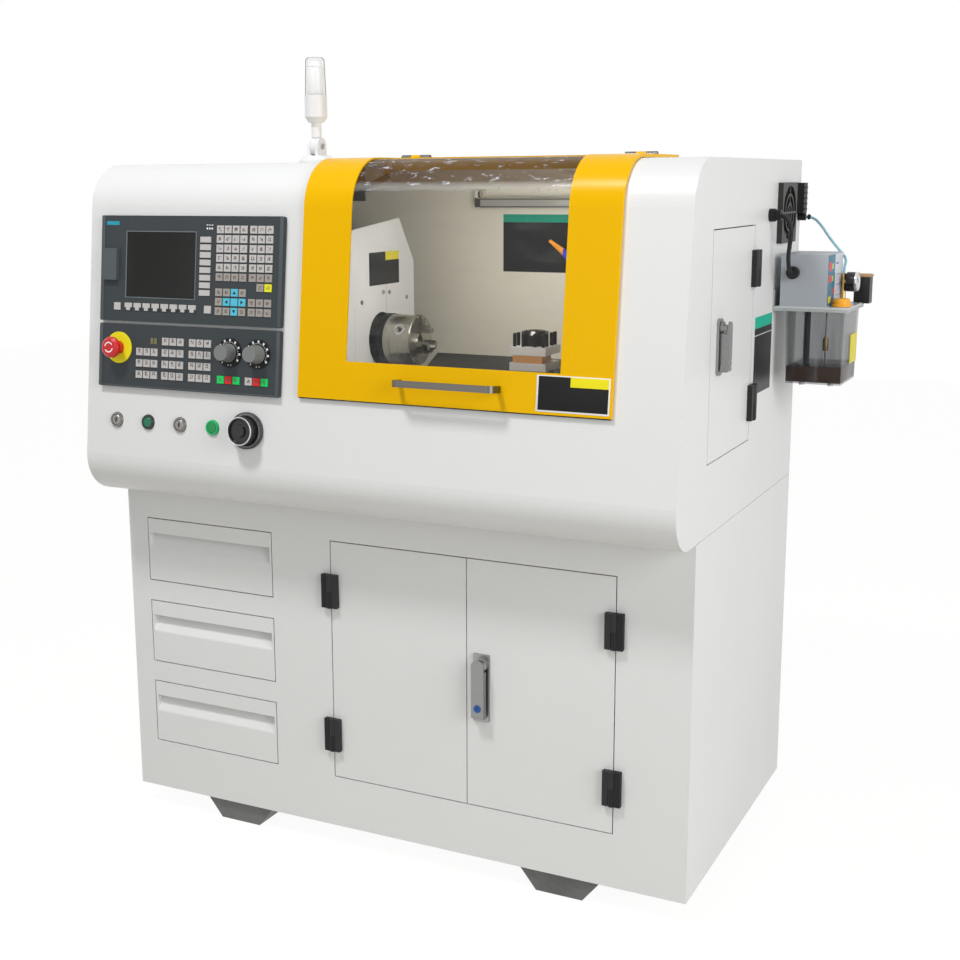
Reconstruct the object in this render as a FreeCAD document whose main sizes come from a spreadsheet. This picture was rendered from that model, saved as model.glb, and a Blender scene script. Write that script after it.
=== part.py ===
import FreeCAD, Part
import math
import os

import Sketcher
from FreeCAD import Placement, Rotation, Vector

# Compact CNC turning lathe: a sheet-metal cabinet with three drawers and a two-leaf
# cupboard carries a bent sheet hood, and the hood holds the machining space, the operator
# panels, a flip-up guard with a curved window and a lubrication pump on its right side.
# Millimetres. X runs to the operator's right, Y to the back, Z up. The origin is the
# centre of the four anchor holes in the feet, on the floor.

SIZES = {
    # whole machine
    "machine_width": 1200,
    "cabinet_depth": 660,
    "cabinet_height": 655,
    "hood_height": 637,
    "hood_overhang": 127,
    "front_tilt": 6.5,
    "sheet": 3,
    "seam": 1.5,
    "door_gap": 2,
    # hood bends
    "lower_bend_radius": 75,
    "upper_bend_radius": 88,
    # feet
    "foot_height": 45,
    "foot_top_width": 165,
    "foot_sole_width": 92,
    "foot_depth": 110,
    "foot_sheet": 4,
    "foot_spacing_x": 710,
    "foot_spacing_y": 530,
    "anchor_hole_radius": 7,
    # drawers
    "drawer_left": -552,
    "drawer_width": 299,
    "drawer_height": 129,
    "drawer_bottom_first": 150,
    "drawer_pitch": 175,
    "drawer_depth": 420,
    "drawer_strip": 30,
    "drawer_recess": 22,
    "drawer_pocket_share": 0.5,
    "drawer_pocket_bend": 9,
    "drawer_pocket_end": 4,
    "drawer_sheet": 2,
    "runner_height": 12,
    "runner_clearance": 1,
    "partition_x": -240,
    # cabinet doors
    "cupboard_left": -117,
    "cupboard_width": 577,
    "cupboard_bottom": 150,
    "cupboard_height": 477,
    "door_fold": 18,
    "door_sheet": 2,
    # external hinges
    "hinge_height": 66,
    "hinge_leaf_width": 17,
    "hinge_leaf_thickness": 10,
    "hinge_knuckle_radius": 6,
    "hinge_pin_radius": 2.5,
    "hinge_pin_clearance": 0.05,
    "hinge_axis_offset": 7,
    "hinge_split_gap": 0.5,
    "hinge_low": 238,
    "hinge_high": 530,
    # swing-handle latches
    "latch_width": 32,
    "latch_height": 130,
    "latch_plate": 5,
    "latch_x": 203,
    "latch_bottom": 320,
    "latch_spindle_radius": 6,
    "latch_spindle_clearance": 0.1,
    "latch_spindle_drop": 20,
    "latch_lever_length": 100,
    "latch_cover": 3,
    "latch_corner": 1.5,
    "latch_lever_thickness": 9,
    "latch_boss_radius": 12.5,
    "latch_bush_radius": 10,
    "latch_boss_height": 4,
    "latch_cam_length": 38,
    "latch_cam_width": 14,
    "latch_cam_thickness": 3,
    "latch_ear": 5,
    "latch_tongue": 4,
    "latch_cam_clearance": 0.5,
    # access door on the right side of the hood
    "side_door_front": -280,
    "side_door_width": 263,
    "side_door_rise": 128,
    "side_door_height": 391,
    "side_hinge_low_rise": 198,
    "side_hinge_high_rise": 443,
    "side_latch_y": -235,
    "side_latch_rise": 356.5,
    "side_latch_width": 26,
    "side_latch_height": 97,
    "side_latch_drop": 15,
    "side_latch_corner": 9,
    "side_latch_boss_radius": 10.5,
    "side_lever_length": 75,
    # guard opening and guard door
    "guard_left": -113,
    "guard_width": 598,
    "guard_rise": 222,
    "guard_overlap": 18,
    "guard_gap": 4,
    "guard_edge_clearance": 1,
    "guard_hinge_y": -105,
    "guard_hinge_rise": 8,
    "guard_hinge_inset": 72,
    "guard_knuckle_radius": 6,
    "guard_knuckle_length": 20,
    "guard_pin_radius": 3,
    "guard_leaf_depth": 34,
    "guard_leaf_thickness": 3,
    "guard_rear_gap": 8,
    "window_left": -15,
    "window_width": 408,
    "window_rise": 290,
    "window_rear_y": -240,
    "window_lap": 20,
    "window_flange_depth": 20,
    "handle_centre_x": 190,
    "handle_length": 194,
    "handle_reach": 34,
    "handle_bar": 6,
    "handle_height": 12,
    "handle_bend": 13,
    "handle_rise": 253,
    # gas struts
    "strut_foot_y": -255,
    "strut_foot_drop": 48,
    "strut_angle": 15.4,
    "strut_length": 108.9,
    "strut_inset": 47,
    "strut_barrel_radius": 6,
    "strut_barrel_length": 74,
    "strut_rod_radius": 2.5,
    "strut_bore_clearance": 0.1,
    "strut_eye_radius": 6,
    "strut_eye_width": 8,
    "strut_pin_radius": 3,
    "strut_pin_clearance": 0.1,
    "strut_plate": 4,
    "strut_plate_width": 27,
    "strut_plate_height": 68,
    # operator panels
    "panel_left": -567,
    "panel_width": 415,
    "panel_thickness": 9,
    "panel_corner": 4,
    "panel_lip": 12,
    "panel_bottom": 218,
    "control_panel_height": 121,
    "panel_split": 5,
    "display_panel_height": 200,
    "screen_left": 59,
    "screen_bottom": 44,
    "screen_width": 165,
    "screen_height": 128,
    "screen_recess": 3,
    "card_cover_left": 9,
    "card_cover_rise": 77.5,
    "card_cover_width": 34,
    "card_cover_height": 60,
    "card_cover_depth": 8,
    "key_width": 15,
    "key_height": 14,
    "key_pitch": 17.4,
    "key_rise": 1.6,
    "keypad_left": 269.9,
    "keypad_second_left": 343.2,
    "keypad_top": 182.6,
    "soft_key_long": 24,
    "soft_key_short": 10.5,
    "soft_key_column": 232.8,
    "soft_key_low": 53.3,
    "soft_key_pitch": 14.0,
    "lower_soft_key_left": 60,
    "lower_soft_key_bottom": 21,
    "lower_soft_key_pitch": 21.3,
    "lower_soft_key_width": 17,
    "recall_key_left": 34.5,
    "next_key_left": 245.5,
    "control_key_pitch": 21.6,
    "control_key_bottom": 19,
    "control_block_first": 90.5,
    "control_block_second": 151,
    "control_block_third": 213.5,
    "mode_key_first": 279.4,
    "mode_key_second": 341.6,
    # emergency stop, override knobs, switches and handwheel
    "estop_x": 48.5,
    "estop_rise": 75,
    "estop_disc_radius": 30,
    "estop_disc_thickness": 2,
    "estop_head_radius": 20,
    "estop_head_height": 16,
    "estop_stem_radius": 12,
    "estop_stem_height": 16,
    "dial_thickness": 2,
    "override_dial_radius": 27,
    "override_dial_rise": 76.5,
    "override_first": 304.8,
    "override_second": 367.4,
    "override_knob_radius": 16,
    "override_knob_height": 23,
    "override_skirt_radius": 17,
    "override_skirt_height": 4,
    "turning_clearance": 0.5,
    "switch_row": 153,
    "switch_first": -526.3,
    "switch_pitch": 75,
    "switch_bezel_radius": 15,
    "switch_bezel_height": 4,
    "switch_cap_radius": 9.5,
    "switch_cap_height": 4.5,
    "switch_body_radius": 11,
    "switch_body_depth": 40,
    "switch_clearance": 0.15,
    "handwheel_x": -222,
    "handwheel_dial_radius": 34,
    "handwheel_dial_thickness": 8,
    "handwheel_radius": 26,
    "handwheel_thickness": 21,
    "handwheel_dish": 4,
    "handwheel_hub_radius": 12,
    "handwheel_shaft_radius": 5,
    # spindle, headstock and drive
    "spindle_inset": 297,
    "spindle_rise": 276,
    "spindle_radius": 22.5,
    "spindle_bore": 10,
    "spindle_clearance": 0.05,
    "headstock_left": -420,
    "headstock_length": 200,
    "headstock_width": 220,
    "headstock_wall": 28,
    "spindle_flange_x": -185,
    "spindle_flange_radius": 54,
    "spindle_flange_thickness": 14,
    "chuck_radius": 52.5,
    "chuck_length": 62,
    "chuck_bore": 11,
    "chuck_groove": 1.2,
    "chuck_key_radius": 8,
    "chuck_socket": 8,
    "jaw_width": 16,
    "jaw_rest_radius": 16,
    "jaw_length": 30,
    "jaw_step": 9,
    "jaw_guide_width": 8,
    "jaw_guide_depth": 10,
    "jaw_clearance": 0.3,
    "pulley_x": -456,
    "pulley_width": 26,
    "pulley_radius": 55,
    "pulley_flange": 4,
    "motor_offset": 192,
    "motor_rise": 100,
    "motor_radius": 72,
    "motor_length": 190,
    "motor_pulley_radius": 38,
    "belt_width": 18,
    "belt_thickness": 5,
    "belt_clearance": 0.4,
    # bed, saddle, cross slide and turret
    "bed_left": -198,
    "bed_length": 683,
    "bed_reach": 95,
    "bed_width": 190,
    "bed_rise": 171,
    "bed_depth": 90,
    "bed_way_height": 14,
    "bed_way_width": 26,
    "bed_leg_length": 110,
    "way_cover_rise": 218,
    "saddle_x": 95,
    "saddle_length": 160,
    "saddle_width": 240,
    "saddle_thickness": 22,
    "saddle_clearance": 0.4,
    "dovetail_width": 84,
    "dovetail_height": 9,
    "cross_slide_length": 180,
    "cross_slide_width": 110,
    "cross_slide_reach": 148,
    "cross_slide_thickness": 20,
    "turret_reach": 58,
    "turret_size": 76,
    "turret_drop": 38,
    "turret_base_radius": 37,
    "turret_lower_plate": 15,
    "turret_slot": 15,
    "turret_upper_plate": 16,
    "turret_core": 48,
    "turret_cap_radius": 26,
    "turret_cap_height": 32,
    "turret_screw_radius": 3.5,
    "turret_screw_height": 26,
    "turret_screw_inset": 8,
    "turret_clearance": 0.5,
    "tool_shank": 13,
    "tool_length": 62,
    # enclosure inside the hood
    "headstock_wall_x": -200,
    "wall_knee_offset": 146,
    "wall_peak_inset": 65,
    "wall_knee_rise": 432,
    "wall_peak_rise": 525,
    "wall_front_rise": 481,
    "wall_bend_rise": 400,
    "splash_inset": 40,
    "end_wall_x": 500,
    "inner_rise": 60,
    # work lamp
    "lamp_left": -77,
    "lamp_length": 270,
    "lamp_depth": 44,
    "lamp_height": 20,
    "lamp_drop": 92,
    "lamp_inset": 58,
    "lamp_pivot_radius": 8,
    "lamp_arm": 6,
    # warning beacon
    "beacon_x": -182,
    "beacon_y": -240,
    "beacon_flange_radius": 34,
    "beacon_flange_height": 13,
    "beacon_axis_rise": 30,
    "beacon_fork_gap": 11,
    "beacon_fork_wall": 6,
    "beacon_joint_radius": 16,
    "beacon_stem_radius": 9.5,
    "beacon_body_rise": 44,
    "beacon_body_radius": 21,
    "beacon_body_height": 50,
    "beacon_lens_radius": 20,
    "beacon_lens_height": 68,
    # lubrication pump
    "pump_y": 130,
    "pump_width": 142,
    "pump_plate": 6,
    "pump_rise": 360,
    "pump_plate_depth": 154,
    "pump_flange_height": 40,
    "tank_clearance": 24,
    "tank_width": 112,
    "tank_depth": 140,
    "tank_height": 139,
    "tank_wall": 3,
    "tank_taper": 3,
    "pump_box_width": 88,
    "pump_box_depth": 136,
    "pump_box_height": 98,
    "pump_box_offset": 14,
    "filler_radius": 19,
    "filler_height": 15,
    "filler_inset": 35,
    "filler_plug_radius": 8,
    "pump_gland_radius": 12,
    "gauge_radius": 19,
    "gauge_thickness": 20,
    "gauge_y": 250,
    "gauge_rise": 41,
    "outlet_post_radius": 5,
    "outlet_post_height": 57,
    "terminal_x": 722,
    "terminal_width": 30,
    "terminal_depth": 30,
    "terminal_height": 54,
    "cable_end_x": 638,
    "cable_end_rise": 427,
    # fan guard and cable glands on the right side
    "fan_y": 200,
    "fan_rise": 537,
    "fan_size": 114,
    "fan_thickness": 10,
    "fan_hole_radius": 51,
    "fan_rib": 4,
    "gland_radius": 10,
    "gland_length": 22,
    "gland_cap_radius": 12,
    "gland_y": 85,
    "gland_rise": 535,
    "outlet_box_y": 297,
    "outlet_box_rise": 533,
    "outlet_box_depth": 30,
    "outlet_box_height": 60,
    "outlet_box_reach": 14,
    "outlet_fitting_radius": 7,
    "outlet_fitting_length": 16,
    # flexible coolant hose
    "hose_x": 205,
    "hose_inset": 28,
    "hose_rise": 262,
    "hose_radius": 10,
    "hose_segment": 18,
    "hose_turn_angle": 4.5,
    # label plates
    "rules_left": -35,
    "rules_rise": 405,
    "rules_width": 200,
    "rules_height": 124,
    "wall_label_reach": 50,
    "wall_label_rise": 389,
    "wall_label_width": 127,
    "wall_label_height": 68,
    "side_label_y": 6,
    "side_label_rise": 207,
    "side_label_width": 122,
    "side_label_height": 144,
    # cords
    "cable_radius": 4,
    "tube_radius": 2.6,
}


class Size:
    """A length with its number and the sheet expression that drives it."""

    def __init__(self, number, text):
        self.number = number
        self.text = text

    def _join(self, other, sign, result, swap=False):
        other_text = other.text if isinstance(other, Size) else repr(other)
        pair = (other_text, self.text) if swap else (self.text, other_text)
        return Size(result, f"({pair[0]} {sign} {pair[1]})")

    def __add__(self, other):
        return self._join(other, "+", self.number + number(other))

    def __radd__(self, other):
        return self._join(other, "+", other + self.number, swap=True)

    def __sub__(self, other):
        return self._join(other, "-", self.number - number(other))

    def __rsub__(self, other):
        return self._join(other, "-", other - self.number, swap=True)

    def __mul__(self, other):
        return self._join(other, "*", self.number * number(other))

    def __rmul__(self, other):
        return self._join(other, "*", other * self.number, swap=True)

    def __truediv__(self, other):
        return self._join(other, "/", self.number / number(other))

    def __neg__(self):
        return Size(-self.number, f"(0 - {self.text})")


def number(length):
    """The plain number of a Size or of a number."""
    return length.number if isinstance(length, Size) else float(length)


def text(length):
    """The expression text of a Size or of a number."""
    return length.text if isinstance(length, Size) else repr(length)


def sine(angle):
    return Size(math.sin(math.radians(number(angle))), f"sin({text(angle)})")


def cosine(angle):
    return Size(math.cos(math.radians(number(angle))), f"cos({text(angle)})")


def tangent(angle):
    return Size(math.tan(math.radians(number(angle))), f"tan({text(angle)})")


def root(square):
    return Size(math.sqrt(number(square)), f"sqrt({text(square)})")


class Sheet:
    """The driving dimensions as a spreadsheet; each alias is read as an attribute."""

    def __init__(self, document, values):
        cells = document.addObject("Spreadsheet::Sheet", "sizes")
        for row, (alias, value) in enumerate(values.items(), start=1):
            cells.set(f"A{row}", alias)
            cells.set(f"B{row}", str(value))
            cells.setAlias(f"B{row}", alias)
            setattr(self, alias, Size(float(value), f"sizes.{alias}"))


doc = FreeCAD.newDocument("cnc_turning_lathe")
s = Sheet(doc, SIZES)
doc.recompute()

ALONG = {
    "x": Rotation(Vector(0, 1, 0), 90),
    "y": Rotation(Vector(1, 0, 0), -90),
    "z": Rotation(),
}

hood_bottom = s.foot_height + s.cabinet_height
hood_top = hood_bottom + s.hood_height
half_width = s.machine_width / 2
half_depth = s.cabinet_depth / 2
front_y = -half_depth - s.hood_overhang
cosine_tilt = cosine(s.front_tilt)

# heights that follow the hood's lower edge or its roof
side_door_bottom = hood_bottom + s.side_door_rise
side_hinge_low = hood_bottom + s.side_hinge_low_rise
side_hinge_high = hood_bottom + s.side_hinge_high_rise
side_latch_z = hood_bottom + s.side_latch_rise
guard_bottom = hood_bottom + s.guard_rise
window_bottom = hood_bottom + s.window_rise
strut_foot_z = hood_top - s.strut_foot_drop
spindle_z = hood_bottom + s.spindle_rise
motor_z = hood_bottom + s.motor_rise
bed_top = hood_bottom + s.bed_rise
way_cover_top = hood_bottom + s.way_cover_rise
inner_bottom = hood_bottom + s.inner_rise
lamp_z = hood_top - s.lamp_drop
rules_bottom = hood_bottom + s.rules_rise
wall_label_z = hood_bottom + s.wall_label_rise
side_label_z = hood_bottom + s.side_label_rise
hose_z = hood_bottom + s.hose_rise
pump_plate_top = hood_bottom + s.pump_rise
cable_end_z = hood_bottom + s.cable_end_rise
fan_z = hood_bottom + s.fan_rise
gland_z = hood_bottom + s.gland_rise
outlet_box_z = hood_bottom + s.outlet_box_rise

# depths that follow the machine's rear or the spindle's axis
spindle_y = half_depth - s.spindle_inset
splash_y = half_depth - s.splash_inset
lamp_y = splash_y - s.lamp_inset
hose_y = splash_y - s.hose_inset
motor_y = spindle_y + s.motor_offset
bed_front = spindle_y - s.bed_reach
cross_slide_front = spindle_y - s.cross_slide_reach
turret_y = spindle_y - s.turret_reach
wall_label_y = spindle_y - s.wall_label_reach


# ---------------------------------------------------------------- helpers


def bind(item, **sizes):
    """Bind properties to sheet expressions; a double underscore stands for a dot."""
    for key, length in sizes.items():
        item.setExpression(key.replace("__", "."), text(length))
    return item


def put(item, x=0, y=0, z=0, rotation=None):
    """Place an object by sheet expressions, with an optional fixed rotation."""
    item.Placement = Placement(Vector(number(x), number(y), number(z)), rotation or Rotation())
    return bind(item, Placement__Base__x=x, Placement__Base__y=y, Placement__Base__z=z)


def box(name, length, width, height, x=0, y=0, z=0):
    solid = doc.addObject("Part::Box", name)
    bind(solid, Length=length, Width=width, Height=height)
    return put(solid, x, y, z)


def cylinder(name, radius, height, x=0, y=0, z=0, axis="z"):
    solid = doc.addObject("Part::Cylinder", name)
    bind(solid, Radius=radius, Height=height)
    return put(solid, x, y, z, ALONG[axis])


def cone(name, lower, upper, height, x=0, y=0, z=0, axis="z"):
    solid = doc.addObject("Part::Cone", name)
    bind(solid, Radius1=lower, Radius2=upper, Height=height)
    return put(solid, x, y, z, ALONG[axis])


def fuse(name, *solids):
    joined = doc.addObject("Part::MultiFuse", name)
    joined.Shapes = list(solids)
    return joined


def group(name, *solids):
    """Separate solids that share one node."""
    gathered = doc.addObject("Part::Compound", name)
    gathered.Links = list(solids)
    return gathered


def cut(name, base, *tools):
    result = doc.addObject("Part::Cut", name)
    result.Base = base
    result.Tool = tools[0] if len(tools) == 1 else fuse(name + "_tools", *tools)
    return result


def keep_inside(name, base, tool):
    result = doc.addObject("Part::Common", name)
    result.Base = base
    result.Tool = tool
    return result


def prism(name, plane, points, depth):
    """A PartDesign body: one closed outline, each corner bound to the sheet, padded."""
    body = doc.addObject("PartDesign::Body", name)
    sketch = body.newObject("Sketcher::SketchObject", name + "_outline")
    support = next(item for item in body.Origin.OriginFeatures if item.Role == plane)
    sketch.AttachmentSupport = [(support, "")]
    sketch.MapMode = "FlatFace"
    corners = [Vector(number(u), number(v), 0) for u, v in points]
    for index, corner in enumerate(corners):
        following = corners[(index + 1) % len(corners)]
        sketch.addGeometry(Part.LineSegment(corner, following))
    for index in range(len(corners)):
        following = (index + 1) % len(corners)
        sketch.addConstraint(Sketcher.Constraint("Coincident", index, 2, following, 1))
    for index, corner in enumerate(points):
        for kind, length in zip(("DistanceX", "DistanceY"), corner):
            constraint = Sketcher.Constraint(kind, -1, 1, index, 1, number(length))
            row = sketch.addConstraint(constraint)
            sketch.setExpression(f"Constraints[{row}]", text(length))
    pad = body.newObject("PartDesign::Pad", name + "_pad")
    pad.Profile = sketch
    bind(pad, Length=depth)
    sketch.Visibility = False
    return body


def near(value, target):
    return abs(value - number(target)) < 1e-4


def round_edges(body, radius, *tests):
    """Fillet the edges of a body's tip that one of the tests picks."""
    doc.recompute()
    base = body.Tip
    names = [
        f"Edge{index}"
        for index, edge in enumerate(base.Shape.Edges, start=1)
        if any(test(edge) for test in tests)
    ]
    fillet = body.newObject("PartDesign::Fillet", f"{body.Name}_round{len(body.Group)}")
    fillet.Base = (base, names)
    bind(fillet, Radius=radius)
    return body


def edge_at(**where):
    """A test for straight edges whose ends all have the given x, y or z."""

    def test(edge):
        return all(
            near(getattr(vertex.Point, axis), target)
            for vertex in edge.Vertexes
            for axis, target in where.items()
        )

    return test


def turned(name, points):
    """A body turned about its own Z axis from a half outline of (radius, height)."""
    body = doc.addObject("PartDesign::Body", name)
    sketch = body.newObject("Sketcher::SketchObject", name + "_half")
    support = next(item for item in body.Origin.OriginFeatures if item.Role == "XZ_Plane")
    sketch.AttachmentSupport = [(support, "")]
    sketch.MapMode = "FlatFace"
    corners = [Vector(number(u), number(v), 0) for u, v in points]
    for index, corner in enumerate(corners):
        following = corners[(index + 1) % len(corners)]
        sketch.addGeometry(Part.LineSegment(corner, following))
    for index in range(len(corners)):
        following = (index + 1) % len(corners)
        sketch.addConstraint(Sketcher.Constraint("Coincident", index, 2, following, 1))
    for index, corner in enumerate(points):
        for kind, length in zip(("DistanceX", "DistanceY"), corner):
            constraint = Sketcher.Constraint(kind, -1, 1, index, 1, number(length))
            row = sketch.addConstraint(constraint)
            sketch.setExpression(f"Constraints[{row}]", text(length))
    revolution = body.newObject("PartDesign::Revolution", name + "_turn")
    revolution.Profile = sketch
    revolution.ReferenceAxis = (sketch, ["V_Axis"])
    revolution.Angle = 360
    sketch.Visibility = False
    return body


def on_front(item, x=0, rise=0, out=0):
    """Lay an object on the leaning hood front: X right, Y up the sheet, Z outwards.

    rise is measured up the sheet from the hood's lower edge, out from its face.
    """
    tilt = s.front_tilt
    item.Placement = Placement(Vector(), Rotation(Vector(1, 0, 0), 90 - number(tilt)))
    return bind(
        item,
        Placement__Base__x=x,
        Placement__Base__y=front_y + rise * sine(tilt) - out * cosine_tilt,
        Placement__Base__z=hood_bottom + rise * cosine_tilt + out * sine(tilt),
        Placement__Rotation__Angle=90 - tilt,
    )


PARTS = []


def part(node, item):
    """Name a finished piece and list it for export."""
    item.Label = node
    PARTS.append(item)
    return item


# ---------------------------------------------------------------- cabinet

QUARTER = Rotation(Vector(0, 0, 1), 90)
display_rise = s.panel_bottom + s.control_panel_height + s.panel_split


def hood_solid(name, outset, left, width):
    """The hood's side outline, outset from its outer face, drawn along X."""
    lean = tangent(s.front_tilt)
    shift = outset / cosine_tilt
    low = hood_bottom - outset
    high = hood_top + outset
    lower_y = front_y - shift - outset * lean
    upper_y = front_y - shift + (s.hood_height + outset) * lean
    rear_y = half_depth + outset
    body = prism(
        name, "YZ_Plane", [(rear_y, low), (lower_y, low), (upper_y, high), (rear_y, high)], width
    )
    round_edges(body, s.lower_bend_radius + outset, edge_at(y=lower_y, z=low))
    round_edges(body, s.upper_bend_radius + outset, edge_at(y=upper_y, z=high))
    return put(body, x=left)


drawer_tray_front = s.drawer_recess + 2 * s.drawer_sheet - half_depth


def drawer_base(index):
    return s.drawer_bottom_first + s.drawer_pitch * index


def cabinet_shell():
    """The welded cabinet: one sheet box with a partition and the drawer runners."""
    outer = box(
        "cabinet_outer", s.machine_width, s.cabinet_depth, s.cabinet_height,
        -half_width, -half_depth, s.foot_height,
    )
    depth = s.cabinet_depth - 2 * s.sheet
    height = s.cabinet_height - 2 * s.sheet
    base = s.foot_height + s.sheet
    drawer_bay = box(
        "cabinet_drawer_bay", s.partition_x + half_width - 2 * s.sheet, depth, height,
        s.sheet - half_width, s.sheet - half_depth, base,
    )
    cupboard_bay = box(
        "cabinet_cupboard_bay", half_width - s.partition_x - s.sheet, depth, height,
        s.partition_x, s.sheet - half_depth, base,
    )
    cupboard = box(
        "cupboard_opening",
        s.cupboard_width + 2 * s.door_gap, 3 * s.sheet, s.cupboard_height + 2 * s.door_gap,
        s.cupboard_left - s.door_gap, -half_depth - s.sheet, s.cupboard_bottom - s.door_gap,
    )
    openings = [drawer_bay, cupboard_bay, cupboard]
    runners = []
    for index in range(3):
        openings.append(box(
            f"drawer_opening_{index + 1}",
            s.drawer_width + 2 * s.door_gap, 3 * s.sheet, s.drawer_height + 2 * s.door_gap,
            s.drawer_left - s.door_gap, -half_depth - s.sheet,
            drawer_base(index) - s.door_gap,
        ))
        runner_z = drawer_base(index) + s.drawer_height / 3
        runner_y = drawer_tray_front + s.runner_clearance
        runner_depth = s.drawer_depth - s.runner_clearance
        left_end = s.drawer_left + s.door_gap - s.runner_clearance
        right_start = s.drawer_left + s.drawer_width - s.door_gap + s.runner_clearance
        runners.append(box(
            f"runner_left_{index + 1}",
            left_end + half_width - s.sheet, runner_depth, s.runner_height,
            s.sheet - half_width, runner_y, runner_z,
        ))
        runners.append(box(
            f"runner_right_{index + 1}",
            s.partition_x - s.sheet - right_start, runner_depth, s.runner_height,
            right_start, runner_y, runner_z,
        ))
    seam_z = hood_bottom - s.seam
    seam_ring = cut(
        "cabinet_seam",
        box("seam_outer", s.machine_width, s.cabinet_depth, 2 * s.seam,
            -half_width, -half_depth, seam_z),
        box("seam_inner", s.machine_width - 2 * s.seam, s.cabinet_depth - 2 * s.seam,
            4 * s.seam, s.seam - half_width, s.seam - half_depth, seam_z - s.seam),
    )
    shell = cut("cabinet_sheet", outer, *openings, seam_ring)
    part("cabinet_shell", fuse("cabinet_welded", shell, *runners))


def feet():
    """Four trapezoid feet of folded plate, closed on the outside, each with an anchor hole."""
    half_top = s.foot_top_width / 2
    half_sole = s.foot_sole_width / 2
    wall = s.foot_sheet
    slope = (half_top - half_sole) / s.foot_height
    slant = wall * slope * 1.5
    solids = []
    for index, (side, end) in enumerate(((-1, -1), (1, -1), (-1, 1), (1, 1)), start=1):
        web = prism(
            f"foot_web_{index}", "XZ_Plane",
            [(-half_sole, 0), (half_sole, 0),
             (half_top, s.foot_height), (-half_top, s.foot_height)],
            s.foot_depth,
        )
        inner_low = half_sole - slant
        inner_high = inner_low + slope * (s.foot_height - 2 * wall)
        inside = prism(
            f"foot_hollow_{index}", "XZ_Plane",
            [(-inner_low, wall), (inner_low, wall),
             (inner_high, s.foot_height - wall), (-inner_high, s.foot_height - wall)],
            3 * s.foot_depth,
        )
        put(inside, y=2 * s.foot_depth + wall if end < 0 else -wall)
        anchor = cylinder(f"foot_anchor_{index}", s.anchor_hole_radius, 3 * wall,
                          0, -s.foot_depth / 2, -wall)
        foot = cut(f"foot_{index}", web, inside, anchor)
        put(foot, side * s.foot_spacing_x / 2, end * s.foot_spacing_y / 2 + s.foot_depth / 2)
        solids.append(foot)
    part("feet", group("feet_group", *solids))


def drawers():
    """Three drawers: a folded front with a finger recess and a tray behind it."""
    face = -half_depth
    wall = s.drawer_sheet
    tray_front = drawer_tray_front
    tray_width = s.drawer_width - 2 * s.door_gap
    tray_left = s.drawer_left + s.door_gap
    strip_low = s.drawer_height - s.drawer_strip
    for index, node in enumerate(("drawer_bottom", "drawer_middle", "drawer_top")):
        base = drawer_base(index)
        bend = base + s.drawer_height * s.drawer_pocket_share
        front = prism(
            f"{node}_front", "YZ_Plane",
            [(face, base), (face, bend), (face + s.drawer_recess, base + strip_low),
             (face, base + strip_low), (face, base + s.drawer_height),
             (tray_front, base + s.drawer_height), (tray_front, base)],
            s.drawer_width - 2 * s.drawer_pocket_end,
        )
        round_edges(front, s.drawer_pocket_bend, edge_at(y=face, z=bend))
        put(front, x=s.drawer_left + s.drawer_pocket_end)
        ends = [
            box(f"{node}_end_{side}", s.drawer_pocket_end, tray_front - face, s.drawer_height,
                x, face, base)
            for side, x in (
                ("left", s.drawer_left),
                ("right", s.drawer_left + s.drawer_width - s.drawer_pocket_end),
            )
        ]
        outer = box(f"{node}_tray", tray_width, s.drawer_depth, s.drawer_height - s.drawer_strip,
                    tray_left, tray_front, base)
        inner = box(
            f"{node}_hollow", tray_width - 2 * wall, s.drawer_depth - 2 * wall,
            s.drawer_height, tray_left + wall, tray_front + wall, base + wall,
        )
        tray = cut(f"{node}_open_tray", outer, inner)
        part(node, fuse(node + "_welded", front, *ends, tray))


# ---------------------------------------------------------------- hinges and latches


def hinge_leaf(name, direction):
    """One leaf of an external hinge, beside the pin, which is the local Z axis.

    The sheet lies hinge_axis_offset behind the pin, in +Y; direction gives the side in X.
    """
    leaf_x = 0 if direction > 0 else -s.hinge_leaf_width
    return box(
        name + "_leaf", s.hinge_leaf_width, s.hinge_leaf_thickness, s.hinge_height,
        leaf_x, s.hinge_axis_offset - s.hinge_leaf_thickness, 0,
    )


def fixed_leaf(name, direction):
    """The carrier's half of a hinge: leaf, lower knuckle and pin."""
    middle = s.hinge_height / 2
    relief = cylinder(name + "_relief", s.hinge_knuckle_radius + s.hinge_split_gap,
                      middle + s.hinge_split_gap, z=middle - s.hinge_split_gap)
    lower = cylinder(name + "_knuckle", s.hinge_knuckle_radius, middle - s.hinge_split_gap)
    pin = cylinder(name + "_pin", s.hinge_pin_radius, s.hinge_height)
    return fuse(name, cut(name + "_cut_leaf", hinge_leaf(name, direction), relief), lower, pin)


def moving_leaf(name, direction):
    """The door's half of a hinge: leaf and upper knuckle, bored for the pin."""
    middle = s.hinge_height / 2
    relief = cylinder(name + "_relief", s.hinge_knuckle_radius + s.hinge_split_gap, middle)
    upper = cylinder(name + "_knuckle", s.hinge_knuckle_radius, middle, z=middle)
    solid = fuse(name + "_solid", cut(name + "_cut_leaf", hinge_leaf(name, direction), relief),
                 upper)
    bore = cylinder(name + "_bore", s.hinge_pin_radius + s.hinge_pin_clearance, s.hinge_height)
    return cut(name, solid, bore)


def pan_door(name, width, height):
    """A folded sheet door: front face on local Y = 0, folds towards +Y."""
    wall = s.door_sheet
    plate = box(name + "_plate", width, s.door_fold, height)
    inside = box(name + "_inside", width - 2 * wall, s.door_fold, height - 2 * wall,
                 wall, wall, wall)
    return cut(name + "_pan", plate, inside)


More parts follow.
